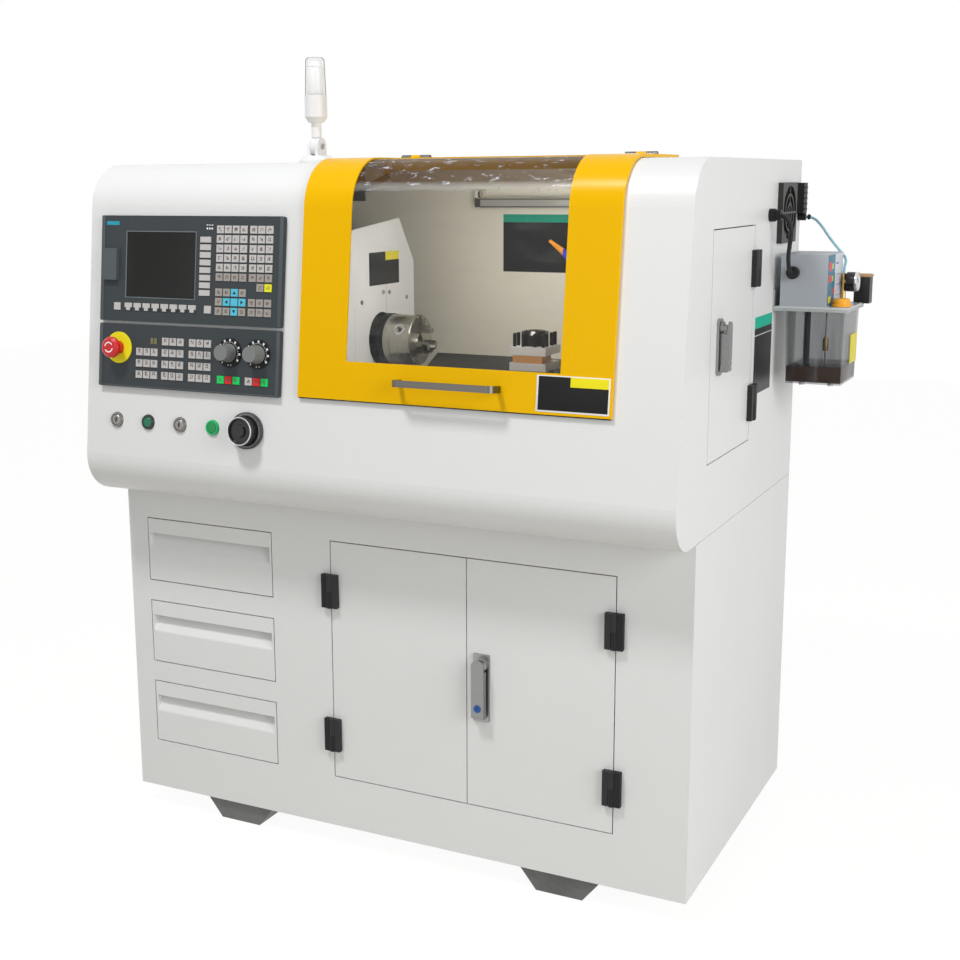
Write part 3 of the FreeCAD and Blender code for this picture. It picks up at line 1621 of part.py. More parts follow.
def belt_outline(name, extra, width, x):
    """A stadium around both pulleys: two discs and the tangent strip between them."""
    upper = s.pulley_radius + extra
    lower = s.motor_pulley_radius + extra
    across = motor_y - spindle_y
    drop = spindle_z - motor_z
    distance = root(across * across + drop * drop)
    lean = (upper - lower) / distance
    rise = root(1 - lean * lean)
    strip = prism(
        name + "_strip", "YZ_Plane",
        [(upper * lean, upper * rise), (distance + lower * lean, lower * rise),
         (distance + lower * lean, -lower * rise), (upper * lean, -upper * rise)],
        width,
    )
    built = fuse(name, cylinder(name + "_upper", upper, width, axis="x"), strip,
                 cylinder(name + "_lower", lower, width, 0, distance, 0, "x"))
    slope = math.degrees(math.atan2(number(drop), number(across)))
    built.Placement = Placement(Vector(), Rotation(Vector(-1, 0, 0), slope))
    bind(built, Placement__Base__x=x, Placement__Base__y=spindle_y,
         Placement__Base__z=spindle_z)
    built.setExpression("Placement.Rotation.Angle", f"atan2({text(drop)}; {text(across)})")
    return built


def drive_belt():
    left = s.pulley_x + (s.pulley_width - s.belt_width) / 2
    inner_width = s.belt_width + 2 * s.belt_thickness
    outer = belt_outline("belt_outer", s.belt_thickness, s.belt_width, left)
    inner = belt_outline("belt_inner", s.belt_clearance, inner_width, left - s.belt_thickness)
    part("drive_belt", cut("belt_loop", outer, inner))


JAW_ANGLES = (0, 120, 240)


def chuck_body():
    """The scroll chuck: body with three jaw ways and three key sockets."""
    length = s.chuck_length
    groove = s.chuck_groove
    waist = length / 4
    body = turned("chuck_turned", [
        (s.chuck_bore, 0), (s.chuck_radius, 0), (s.chuck_radius, waist - groove),
        (s.chuck_radius - groove, waist - groove), (s.chuck_radius - groove, waist + groove),
        (s.chuck_radius, waist + groove), (s.chuck_radius, length - groove),
        (s.chuck_radius - groove, length), (s.chuck_bore, length),
    ])
    on_spindle(body, chuck_face - length)
    tools = []
    for index, angle in enumerate(JAW_ANGLES, start=1):
        way_width = s.jaw_guide_width + 2 * s.jaw_clearance
        way = box(f"jaw_way_{index}", s.chuck_radius, way_width,
                  2 * s.jaw_guide_depth, -s.chuck_radius * 1.15, -way_width / 2,
                  length - s.jaw_guide_depth - s.jaw_clearance)
        holder = fuse(f"jaw_way_cut_{index}", way, cylinder(
            f"jaw_way_end_{index}", s.jaw_clearance, s.jaw_guide_depth / 2,
            -s.chuck_radius, 0, length - s.jaw_guide_depth / 2))
        tools.append(on_spindle(holder, chuck_face - length, angle))
        socket = cylinder(f"key_socket_{index}", s.chuck_key_radius, s.chuck_key_radius / 2,
                          s.chuck_radius - s.chuck_key_radius / 2, 0, length * 0.6, "x")
        square = box(f"key_square_{index}", 2 * s.chuck_socket, s.chuck_socket, s.chuck_socket,
                     s.chuck_radius - 2 * s.chuck_socket, -s.chuck_socket / 2,
                     length * 0.6 - s.chuck_socket / 2)
        keyway = fuse(f"key_socket_cut_{index}", socket, square)
        tools.append(on_spindle(keyway, chuck_face - length, angle))
    part("chuck_body", cut("chuck_milled", body, *tools))


def chuck_jaws():
    """Three stepped jaws, each on its guide in the chuck's way."""
    rest = s.jaw_rest_radius
    step = s.jaw_step
    for index, angle in enumerate(JAW_ANGLES, start=1):
        node = f"chuck_jaw_{index}"
        base = s.jaw_clearance
        stepped = prism(
            node + "_steps", "XZ_Plane",
            [(base, rest), (base + 3 * step, rest), (base + 3 * step, rest + step),
             (base + 2 * step, rest + step), (base + 2 * step, rest + 2 * step),
             (base + step, rest + 2 * step), (base + step, rest + s.jaw_length),
             (base, rest + s.jaw_length)],
            s.jaw_width,
        )
        put(stepped, y=s.jaw_width / 2)
        guide = box(node + "_guide", s.jaw_guide_depth + base, s.jaw_guide_width, s.jaw_length,
                    -s.jaw_guide_depth, -s.jaw_guide_width / 2, rest)
        jaw = fuse(node + "_built", stepped, guide)
        put(jaw, chuck_face, spindle_y, spindle_z, Rotation(Vector(1, 0, 0), angle))
        part(node, jaw)


# ---------------------------------------------------------------- bed and carriage


def lathe_bed():
    """The bed casting with two raised ways, its legs and the cover along its rear."""
    base = bed_top - s.bed_way_height
    rear = bed_front + s.bed_width
    trough = s.bed_width / 4
    body = box("bed_body", s.bed_length, s.bed_width, base - bed_top + s.bed_depth,
               s.bed_left, bed_front, bed_top - s.bed_depth)
    hollow = box("bed_trough", s.bed_length, s.bed_width - 2 * trough, s.bed_depth / 3,
                 s.bed_left, bed_front + trough, base - s.bed_depth / 3)
    pieces = [cut("bed_channel", body, hollow)]
    for name, y in (("front", bed_front), ("rear", rear - s.bed_way_width)):
        pieces.append(box(f"bed_way_{name}", s.bed_length, s.bed_way_width, s.bed_way_height,
                          s.bed_left, y, base))
    for name, x in (("left", s.bed_left),
                    ("right", s.bed_left + s.bed_length - s.bed_leg_length)):
        pieces.append(box(f"bed_leg_{name}", s.bed_leg_length, s.bed_width,
                          bed_top - s.bed_depth - hood_bottom,
                          x, bed_front, hood_bottom))
    cover = prism(
        "way_cover", "YZ_Plane",
        [(rear, base - s.bed_way_height), (splash_y - s.sheet, way_cover_top),
         (splash_y - s.sheet, way_cover_top - s.sheet),
         (rear, base - s.bed_way_height - s.sheet)],
        s.bed_length,
    )
    put(cover, x=s.bed_left)
    part("lathe_bed", fuse("bed_built", *pieces, cover))


def saddle():
    """The saddle with its apron over both ways and the dovetail for the cross slide."""
    base = bed_top + s.saddle_clearance
    front = bed_front + s.bed_width / 2 - s.saddle_width / 2
    plate = box("saddle_plate", s.saddle_length, s.saddle_width, s.saddle_thickness,
                s.saddle_x, front, base)
    pieces = [plate]
    skirt_reach = (s.saddle_width - s.bed_width) / 2 - s.turning_clearance
    for name, y in (("front", front), ("rear", front + s.saddle_width - skirt_reach)):
        pieces.append(box(f"saddle_skirt_{name}", s.saddle_length, skirt_reach, s.bed_way_height,
                          s.saddle_x, y, base - s.bed_way_height))
    centre = s.saddle_x + s.saddle_length / 2
    dovetail = prism(
        "saddle_dovetail", "XZ_Plane",
        [(-s.dovetail_width / 2 + s.dovetail_height / 2, 0),
         (s.dovetail_width / 2 - s.dovetail_height / 2, 0),
         (s.dovetail_width / 2, s.dovetail_height), (-s.dovetail_width / 2, s.dovetail_height)],
        s.saddle_width,
    )
    put(dovetail, centre, front + s.saddle_width, base + s.saddle_thickness)
    part("saddle", fuse("saddle_built", *pieces, dovetail))


slide_base = bed_top + s.saddle_thickness + 2 * s.saddle_clearance
turret_x = s.saddle_x + s.saddle_length / 2
turret_base_z = spindle_z - s.turret_drop


def cross_slide():
    """The cross slide with its dovetail way and the round turret base on it."""
    gap = s.saddle_clearance
    block = box("slide_block", s.cross_slide_width, s.cross_slide_length,
                s.cross_slide_thickness, turret_x - s.cross_slide_width / 2,
                cross_slide_front, slide_base)
    way = prism(
        "slide_way", "XZ_Plane",
        [(-s.dovetail_width / 2 + s.dovetail_height / 2 - 2 * gap, -2 * gap),
         (s.dovetail_width / 2 - s.dovetail_height / 2 + 2 * gap, -2 * gap),
         (s.dovetail_width / 2 + gap, s.dovetail_height + gap),
         (-s.dovetail_width / 2 - gap, s.dovetail_height + gap)],
        2 * s.cross_slide_length,
    )
    put(way, turret_x, cross_slide_front + 1.5 * s.cross_slide_length, slide_base - gap)
    top = slide_base + s.cross_slide_thickness
    base = cylinder("turret_base", s.turret_base_radius,
                    turret_base_z - top - s.turret_clearance, turret_x, turret_y, top)
    part("cross_slide", fuse("slide_built", cut("slide_cut", block, way), base))


def turret_head():
    """The four-sided tool turret: two plates on a core, clamp screws, cap and one tool."""
    half = s.turret_size / 2
    upper_z = turret_base_z + s.turret_lower_plate + s.turret_slot
    top = upper_z + s.turret_upper_plate
    edge = half - s.turret_screw_inset
    pieces = [
        box("turret_lower", s.turret_size, s.turret_size, s.turret_lower_plate,
            turret_x - half, turret_y - half, turret_base_z),
        box("turret_core", s.turret_core, s.turret_core,
            s.turret_slot, turret_x - s.turret_core / 2, turret_y - s.turret_core / 2,
            turret_base_z + s.turret_lower_plate),
        box("turret_upper", s.turret_size, s.turret_size, s.turret_upper_plate,
            turret_x - half, turret_y - half, upper_z),
        box("turret_tool", s.tool_length, s.tool_shank, s.turret_slot,
            turret_x - s.tool_length / 2, turret_y - half + s.turret_clearance,
            turret_base_z + s.turret_lower_plate),
    ]
    cap = turned("turret_cap", [
        (0, 0), (s.turret_cap_radius, 0), (s.turret_cap_radius, s.turret_cap_height * 0.7),
        (s.turret_cap_radius * 0.8, s.turret_cap_height * 0.93), (0, s.turret_cap_height),
    ])
    pieces.append(put(cap, turret_x, turret_y, top))
    for index, (across, along) in enumerate((
        (-1, -1), (-0.4, -1), (0.4, -1), (1, -1), (1, -0.4), (1, 0.4),
        (1, 1), (0.4, 1), (-0.4, 1), (-1, 1), (-1, 0.4), (-1, -0.4),
    )):
        pieces.append(cylinder(f"turret_screw_{index}", s.turret_screw_radius,
                               s.turret_screw_height, turret_x + across * edge,
                               turret_y + along * edge, top))
    part("turret_head", fuse("turret_built", *pieces))


# ---------------------------------------------------------------- enclosure and lamp


def headstock_wall():
    """The sheet beside the spindle nose: its top edge rises to a peak, then falls to a knee."""
    inside = front_y + s.panel_lip
    lean = tangent(s.front_tilt)
    knee_y = spindle_y + s.wall_knee_offset
    sheet = prism(
        "headstock_wall", "YZ_Plane",
        [(inside + s.inner_rise * lean, inner_bottom), (knee_y, inner_bottom),
         (knee_y, hood_bottom + s.wall_knee_rise),
         (knee_y - s.wall_peak_inset, hood_bottom + s.wall_peak_rise),
         (-half_depth, hood_bottom + s.wall_front_rise),
         (inside + s.wall_bend_rise * lean, hood_bottom + s.wall_bend_rise)],
        s.sheet,
    )
    return put(sheet, x=s.headstock_wall_x - s.sheet)


def end_plate(name, x, rear, top, corner):
    """An upright sheet across the machining space, following the hood's leaning front."""
    lean = tangent(s.front_tilt)
    inside = front_y + s.panel_lip
    low = inner_bottom
    front_low = inside + (low - hood_bottom) * lean
    front_high = inside + (top - hood_bottom) * lean
    sheet = prism(
        name, "YZ_Plane",
        [(front_low, low), (rear, low), (rear, top - 1.5 * corner), (rear - corner, top),
         (front_high + s.upper_bend_radius, top), (front_high, top - s.upper_bend_radius)],
        s.sheet,
    )
    return put(sheet, x=x)


def splash_panels():
    """Headstock wall, rear wall with the lamp's tabs, and right end wall."""
    wall = headstock_wall()
    hole = cylinder("headstock_wall_hole", s.spindle_flange_radius + s.turning_clearance * 4,
                    4 * s.sheet, s.headstock_wall_x - 2 * s.sheet, spindle_y, spindle_z, "x")
    roof = hood_top - 2 * s.sheet
    end = end_plate("end_wall", s.end_wall_x, splash_y + s.sheet, roof, s.sheet)
    rear = box("rear_wall", s.end_wall_x - s.headstock_wall_x, s.sheet, roof - inner_bottom,
               s.headstock_wall_x, splash_y, inner_bottom)
    clearance_z = motor_z + s.motor_radius + s.panel_lip
    left = box("rear_wall_left", s.headstock_wall_x - s.headstock_left, s.sheet,
               roof - clearance_z, s.headstock_left, splash_y, clearance_z)
    tabs = []
    for name, x in (("left", s.lamp_left - s.lamp_arm - s.turning_clearance),
                    ("right", s.lamp_left + s.lamp_length + s.turning_clearance)):
        tab = box(f"lamp_tab_{name}", s.lamp_arm, splash_y - lamp_axis_y + s.lamp_pivot_radius,
                  2 * s.lamp_pivot_radius, x, lamp_axis_y - s.lamp_pivot_radius,
                  lamp_axis_z - s.lamp_pivot_radius)
        tabs.append(tab)
    hung = fuse("rear_wall_built", rear, left, *tabs)
    part("splash_panels", group("splash_group", cut("headstock_wall_cut", wall, hole), hung, end))


lamp_axis_y = lamp_y + s.lamp_depth / 2
lamp_axis_z = lamp_z + s.lamp_height + s.lamp_pivot_radius


def work_lamp():
    """The tilting work lamp: housing, glass and an ear at each end on the pivot."""
    housing = box("lamp_housing", s.lamp_length, s.lamp_depth, s.lamp_height,
                  s.lamp_left, lamp_y, lamp_z)
    glass = box("lamp_glass", s.lamp_length - 2 * s.lamp_height, s.lamp_depth - s.lamp_height,
                s.sheet, s.lamp_left + s.lamp_height, lamp_y + s.lamp_height / 2,
                lamp_z - s.sheet / 2)
    pieces = [housing, glass]
    for name, x in (("left", s.lamp_left), ("right", s.lamp_left + s.lamp_length - s.lamp_arm)):
        pieces.append(box(f"lamp_ear_{name}", s.lamp_arm, s.lamp_pivot_radius,
                          s.lamp_pivot_radius + s.sheet, x,
                          lamp_axis_y - s.lamp_pivot_radius / 2, lamp_z + s.lamp_height - s.sheet))
        pieces.append(cylinder(f"lamp_pivot_{name}", s.lamp_pivot_radius * 0.8, s.lamp_arm,
                               x, lamp_axis_y, lamp_axis_z, "x"))
    part("work_lamp", fuse("lamp_built", *pieces))


def label_plates():
    """Three plain plates: rear wall, headstock wall and the hood's right side."""
    thin = s.sheet / 3
    rear = box("plate_rear", s.rules_width, thin, s.rules_height,
               s.rules_left, splash_y - thin, rules_bottom)
    wall = box("plate_headstock", thin, s.wall_label_width, s.wall_label_height,
               s.headstock_wall_x, wall_label_y, wall_label_z)
    side = box("plate_side", thin, s.side_label_width, s.side_label_height,
               half_width, s.side_label_y, side_label_z)
    part("label_plates", group("plate_group", rear, wall, side))


# ---------------------------------------------------------------- coolant hose


HOSE_CUPS = 12


def coolant_hose():
    """A ball-jointed hose: base on the rear wall, a chain of cups and a nozzle."""
    base = cylinder("hose_base", s.hose_radius * 1.3, splash_y - hose_y,
                    s.hose_x, hose_y, hose_z, "y")
    pieces = [base]
    x, z = s.hose_x, hose_z
    for index in range(HOSE_CUPS):
        angle = s.hose_turn_angle * index
        cup = cone(f"hose_cup_{index}", s.hose_radius, s.hose_radius * 0.62, s.hose_segment * 1.1)
        pieces.append(lean_left(cup, x, z, angle))
        x = x - s.hose_segment * sine(angle)
        z = z + s.hose_segment * cosine(angle)
    nozzle = cone("hose_nozzle", s.hose_radius * 0.7, s.hose_radius * 0.35, s.hose_segment * 2.2)
    pieces.append(lean_left(nozzle, x, z, s.hose_turn_angle * HOSE_CUPS))
    part("coolant_hose", fuse("hose_built", *pieces))


def lean_left(item, x, z, angle):
    """Stand an object at the hose's plane, leaning to the left by an angle."""
    item.Placement = Placement(Vector(), Rotation(Vector(0, -1, 0), number(angle)))
    return bind(item, Placement__Base__x=x, Placement__Base__y=hose_y,
                Placement__Base__z=z, Placement__Rotation__Angle=angle)


# ---------------------------------------------------------------- beacon


beacon_axis_z = hood_top + s.beacon_axis_rise
beacon_fork_width = s.beacon_fork_gap + 2 * s.beacon_fork_wall


def beacon_base():
    """Flared foot and fork; the joint's screw runs through both fork arms along X."""
    radius = s.beacon_flange_radius
    height = s.beacon_flange_height
    foot = turned("beacon_foot", [
        (0, 0), (radius, 0), (radius, height / 3), (radius * 0.85, height * 0.6),
        (radius * 0.75, height), (0, height),
    ])
    pieces = [put(foot, s.beacon_x, s.beacon_y, hood_top)]
    for name, x in (("left", s.beacon_x - beacon_fork_width / 2),
                    ("right", s.beacon_x + s.beacon_fork_gap / 2)):
        pieces.append(box(f"beacon_arm_{name}", s.beacon_fork_wall, 2 * s.beacon_joint_radius,
                          s.beacon_axis_rise - height, x, s.beacon_y - s.beacon_joint_radius,
                          hood_top + height))
        pieces.append(cylinder(f"beacon_eye_{name}", s.beacon_joint_radius, s.beacon_fork_wall,
                               x, s.beacon_y, beacon_axis_z, "x"))
    pieces.append(cylinder("beacon_screw", s.latch_spindle_radius / 2, beacon_fork_width,
                           s.beacon_x - beacon_fork_width / 2, s.beacon_y, beacon_axis_z, "x"))
    part("beacon_base", fuse("beacon_base_built", *pieces))


def beacon_lamp():
    """The folding part of the beacon: eye, stem, lamp body and clear lens."""
    eye_width = s.beacon_fork_gap - 2 * s.turning_clearance
    eye = cylinder("beacon_tongue", s.beacon_joint_radius, eye_width,
                   s.beacon_x - eye_width / 2, s.beacon_y, beacon_axis_z, "x")
    stem_low = s.beacon_joint_radius + s.turning_clearance
    neck = box("beacon_neck", eye_width, 1.6 * s.beacon_stem_radius, stem_low + s.sheet,
               s.beacon_x - eye_width / 2, s.beacon_y - 0.8 * s.beacon_stem_radius,
               beacon_axis_z)
    body_low = s.beacon_body_rise
    body_high = body_low + s.beacon_body_height
    lens_high = body_high + s.beacon_lens_height
    lamp = turned("beacon_turned", [
        (0, stem_low), (s.beacon_stem_radius, stem_low), (s.beacon_stem_radius, body_low),
        (s.beacon_body_radius * 0.7, body_low),
        (s.beacon_body_radius, body_low + s.beacon_body_height / 5),
        (s.beacon_body_radius, body_high), (s.beacon_lens_radius, body_high),
        (s.beacon_lens_radius * 0.9, lens_high - s.beacon_lens_radius / 5),
        (s.beacon_lens_radius * 0.7, lens_high), (0, lens_high),
    ])
    put(lamp, s.beacon_x, s.beacon_y, beacon_axis_z)
    bore = cylinder("beacon_bore", s.latch_spindle_radius / 2 + s.hinge_pin_clearance,
                    beacon_fork_width, s.beacon_x - beacon_fork_width / 2, s.beacon_y,
                    beacon_axis_z, "x")
    part("beacon_lamp", cut("beacon_bored", fuse("beacon_built", eye, neck, lamp), bore))


# ---------------------------------------------------------------- lubrication pump

plate_z = pump_plate_top - s.pump_plate


def pump_bracket():
    """The shelf that carries tank and pump, with its flange on the hood's side."""
    shelf = box("pump_shelf", s.pump_width, s.pump_plate_depth, s.pump_plate,
                half_width, s.pump_y, plate_z)
    neck = box("pump_neck", s.tank_width, s.tank_depth, 3 * s.pump_plate,
               half_width + s.tank_clearance, s.pump_y + tank_inset, plate_z - s.pump_plate)
    flange = box("pump_flange", s.sheet, s.pump_plate_depth, s.pump_flange_height,
                 half_width, s.pump_y, plate_z)
    part("pump_bracket", fuse("pump_bracket_built", cut("pump_shelf_cut", shelf, neck), flange))


tank_inset = (s.pump_plate_depth - s.tank_depth) / 2


def pump_tank():
    """The clear oil tank: a tapered box with open walls, hung in the shelf."""
    left = half_width + s.tank_clearance + s.runner_clearance
    front = s.pump_y + tank_inset + s.runner_clearance
    width = s.tank_width - 2 * s.runner_clearance
    depth = s.tank_depth - 2 * s.runner_clearance
    top = plate_z
    low = plate_z - s.tank_height
    outer = tapered("tank_outer", left, front, low, width, depth, s.tank_height, s.tank_taper)
    wall = s.tank_wall
    inner = tapered("tank_inner", left + wall, front + wall, low + wall,
                    width - 2 * wall, depth - 2 * wall, s.tank_height, s.tank_taper)
    lip = box("tank_lip", width, depth, s.pump_plate, left, front, top)
    mouth = box("tank_mouth", width - 2 * wall, depth - 2 * wall, 3 * s.pump_plate,
                left + wall, front + wall, top - s.pump_plate)
    drains = [
        cylinder(f"tank_drain_{index}", s.gland_radius / 2, s.pump_plate,
                 left + width * share, front + depth / 4, low - s.pump_plate)
        for index, share in ((1, 0.25), (2, 0.75))
    ]
    part("pump_tank", cut("tank_open", fuse("tank_solid", outer, lip, *drains), inner, mouth))


def tapered(name, x, y, z, width, depth, height, taper):
    """A box that narrows downwards by the taper on each of its four sides."""
    column = prism(
        name + "_front", "XZ_Plane",
        [(taper, 0), (width - taper, 0), (width, height), (0, height)], depth,
    )
    put(column, x, y + depth, z)
    side = prism(
        name + "_side", "YZ_Plane",
        [(taper, 0), (depth - taper, 0), (depth, height), (0, height)], width,
    )
    put(side, x, y, z)
    return keep_inside(name, column, side)


def pump_unit():
    """The pump's cover plate, motor box, outlet with its gauge, and terminal box."""
    top = pump_plate_top
    inset = s.sheet + s.runner_clearance
    cover = box("pump_cover", s.pump_width - inset, s.pump_plate_depth,
                s.pump_plate / 2, half_width + inset, s.pump_y, top)
    base = top + s.pump_plate / 2
    box_x = half_width + s.pump_box_offset
    housing = box("pump_box", s.pump_box_width, s.pump_box_depth, s.pump_box_height,
                  box_x, s.pump_y, base)
    hole = cylinder("filler_hole", s.filler_plug_radius + s.turning_clearance,
                    3 * s.pump_plate, filler_x, filler_y, top - s.pump_plate)
    post_x = box_x + s.pump_box_width + s.outlet_post_radius + s.runner_clearance
    post = cylinder("outlet_post", s.outlet_post_radius, s.outlet_post_height,
                    post_x, s.gauge_y, base)
    stub = cylinder("gauge_stub", s.outlet_post_radius, 2 * s.outlet_post_radius,
                    post_x, s.gauge_y, base + s.gauge_rise, "x")
    gauge = cylinder("gauge_case", s.gauge_radius, s.gauge_thickness,
                     post_x + 1.4 * s.outlet_post_radius, s.gauge_y, base + s.gauge_rise, "x")
    terminal = box("terminal_box", s.terminal_width, s.terminal_depth, s.terminal_height,
                   s.terminal_x, s.pump_y + s.pump_plate_depth - s.runner_clearance, top)
    inlet = cylinder("pump_gland", s.pump_gland_radius, s.gland_length / 2,
                     s.cable_end_x, s.pump_y - s.gland_length / 2, cable_end_z, "y")
    built = fuse("pump_unit_built", cover, housing, post, stub, gauge, terminal, inlet)
    part("pump_unit", cut("pump_unit_drilled", built, hole))


filler_x = half_width + s.pump_width - s.filler_radius
filler_y = s.pump_y + s.filler_inset


def filler_cap():
    """The push-in filler cap: a knurled head on a short plug."""
    cap = turned("filler_turned", [
        (0, -s.pump_plate * 2), (s.filler_plug_radius, -s.pump_plate * 2),
        (s.filler_plug_radius, s.turning_clearance), (s.filler_radius, s.turning_clearance),
        (s.filler_radius, s.filler_height * 0.2), (s.filler_radius * 0.84, s.filler_height * 0.35),
        (s.filler_radius * 0.84, s.filler_height * 0.8), (s.filler_radius * 0.72, s.filler_height),
        (0, s.filler_height),
    ])
    part("filler_cap", put(cap, filler_x, filler_y, pump_plate_top + s.pump_plate / 2))


# ---------------------------------------------------------------- side fittings and cords


def fan_cover():
    """The square fan guard: a frame with two ring ribs, a hub and four spokes."""
    low_y = s.fan_y - s.fan_size / 2
    low_z = fan_z - s.fan_size / 2
    plate = box("fan_plate", s.fan_thickness, s.fan_size, s.fan_size, half_width, low_y, low_z)
    hole = cylinder("fan_hole", s.fan_hole_radius, 3 * s.fan_thickness,
                    half_width - s.fan_thickness, s.fan_y, fan_z, "x")
    thin = s.fan_thickness / 2
    start = half_width + thin
    pieces = [cut("fan_frame", plate, hole)]
    for index in (1, 2):
        radius = s.fan_hole_radius * index / 3
        ring = cylinder(f"fan_ring_{index}", radius + s.fan_rib / 2, thin,
                        start, s.fan_y, fan_z, "x")
        gap = cylinder(f"fan_ring_gap_{index}", radius - s.fan_rib / 2, 3 * thin,
                       start - thin, s.fan_y, fan_z, "x")
        pieces.append(cut(f"fan_ring_cut_{index}", ring, gap))
    pieces.append(box("fan_spoke_level", thin, s.fan_size - s.fan_rib, s.fan_rib,
                      start, low_y + s.fan_rib / 2, fan_z - s.fan_rib / 2))
    pieces.append(box("fan_spoke_upright", thin, s.fan_rib, s.fan_size - s.fan_rib,
                      start, s.fan_y - s.fan_rib / 2, low_z + s.fan_rib / 2))
    part("fan_cover", fuse("fan_built", *pieces))


def cable_glands():
    """The side wall's cable gland, and the small outlet box with its hose fitting."""
    body = cylinder("gland_body", s.gland_radius, s.gland_length + 2 * s.sheet,
                    half_width - 2 * s.sheet, s.gland_y, gland_z, "x")
    nut = cylinder("gland_nut", s.gland_cap_radius, s.gland_length / 2,
                   half_width, s.gland_y, gland_z, "x")
    bore = cylinder("gland_bore", s.cable_radius + s.turning_clearance, 3 * s.gland_length,
                    half_width - s.gland_length, s.gland_y, gland_z, "x")
    gland = cut("side_gland", fuse("side_gland_solid", body, nut), bore)
    outlet = box("outlet_box", s.outlet_box_reach, s.outlet_box_depth, s.outlet_box_height,
                 half_width, s.outlet_box_y, outlet_box_z)
    fitting = cylinder("outlet_fitting", s.outlet_fitting_radius, s.outlet_fitting_length,
                       half_width, s.outlet_box_y + s.outlet_box_depth / 2,
                       outlet_box_z - s.outlet_fitting_radius, "x")
    part("cable_glands", group("gland_group", gland, fuse("outlet", outlet, fitting)))


def rounded_route(points, radius_share):
    """A wire of straight runs joined by tangent arcs, and the arcs' radii."""
    edges, radii = [], []
    start = points[0]
    for before, corner, after in zip(points, points[1:], points[2:]):
        back = (before - corner).normalize()
        ahead = (after - corner).normalize()
        reach = radius_share * min((before - corner).Length, (after - corner).Length)
        half_turn = (math.pi - back.getAngle(ahead)) / 2
        radii.append(reach / math.tan(half_turn))
        first = corner + back * reach
        last = corner + ahead * reach
        middle = corner + (back + ahead).normalize() * (
            radii[-1] / math.cos(half_turn) - radii[-1]
        )
        edges.append(Part.LineSegment(start, first).toShape())
        edges.append(Part.Arc(first, middle, last).toShape())
        start = last
    edges.append(Part.LineSegment(start, points[-1]).toShape())
    return Part.Wire(edges), radii


def cord(node, points, radius):
    """A round cord swept along its route; its least bend radius is printed."""
    low = number(hood_bottom)
    route, radii = rounded_route([Vector(x, y, z + low) for x, y, z in points], 0.45)
    first = route.Edges[0]
    circle = Part.Wire(Part.Circle(first.valueAt(first.FirstParameter),
                                   first.tangentAt(first.FirstParameter), radius).toShape())
    solid = doc.addObject("Part::Feature", node + "_swept")
    solid.Shape = route.makePipeShell([circle], True, False)
    print(node, "length", round(route.Length, 1), "least bend radius", round(min(radii), 1))
    part(node, solid)


# Chosen by hand, with heights above the hood's lower edge: the gland, a hanging bow in
# front of the pump, and into the pump's gland.
PUMP_CABLE = (
    (609, 85, 535), (626, 85, 535), (638, 87, 522), (641, 89, 502), (638, 91, 482),
    (635.5, 92, 461), (635.5, 97, 442), (638, 104, 427), (638, 119, 427),
)
# The same for the tube: out of the fitting in a bow, and down to the pump's outlet.
OIL_TUBE = (
    (616, 312, 526), (630, 312, 526), (648, 303, 512), (669, 290, 486),
    (694, 281, 460), (709, 267, 446), (708, 250, 432), (708, 250, 420),
)


def cords():
    cord("pump_cable", PUMP_CABLE, SIZES["cable_radius"])
    cord("oil_tube", OIL_TUBE, SIZES["tube_radius"])


# ---------------------------------------------------------------- build and export


def build():
    cabinet_shell()
    feet()
    drawers()
    fixed_leaves = []
    cabinet_doors(fixed_leaves)
    side_door(fixed_leaves)
    part("hinge_leaves", group("hinge_leaf_group", *fixed_leaves))
    hood_shell()
    guard_door()
    guard_window()
    guard_handle()
    guard_hinges()
    gas_struts()
    display_panel()
    control_panel()
    panel_keys()
    dial_plates()
    estop_button()
    override_knobs()
    switches()
    handwheel()
    spindle()
    headstock()
    spindle_motor()
    drive_belt()
    chuck_body()
    chuck_jaws()
    lathe_bed()
    saddle()
    cross_slide()
    turret_head()
    splash_panels()
    work_lamp()
    label_plates()
    coolant_hose()
    beacon_base()
    beacon_lamp()
    pump_bracket()
    pump_tank()
    pump_unit()
    filler_cap()
    fan_cover()
    cable_glands()
    cords()


def check_and_export():
    """Recompute, refuse a broken object, and write one STEP file per node."""
    doc.recompute()
    for item in doc.Objects:
        if "Invalid" in item.State or "Error" in item.State:
            raise RuntimeError(f"{item.Name} failed: {item.State}")
    os.makedirs("parts", exist_ok=True)
    for item in PARTS:
        shape = item.Shape
        if shape.isNull() or not shape.isValid() or not shape.Solids:
            raise RuntimeError(f"{item.Label} has no sound solid")
        shape.exportStep(os.path.join("parts", f"{item.Label}.step"))
    print(len(PARTS), "nodes")


build()
check_and_export()
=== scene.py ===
import logging
import math
from dataclasses import dataclass
from enum import Enum
from typing import Sequence

import bmesh
import bpy
from mathutils import Matrix, Vector


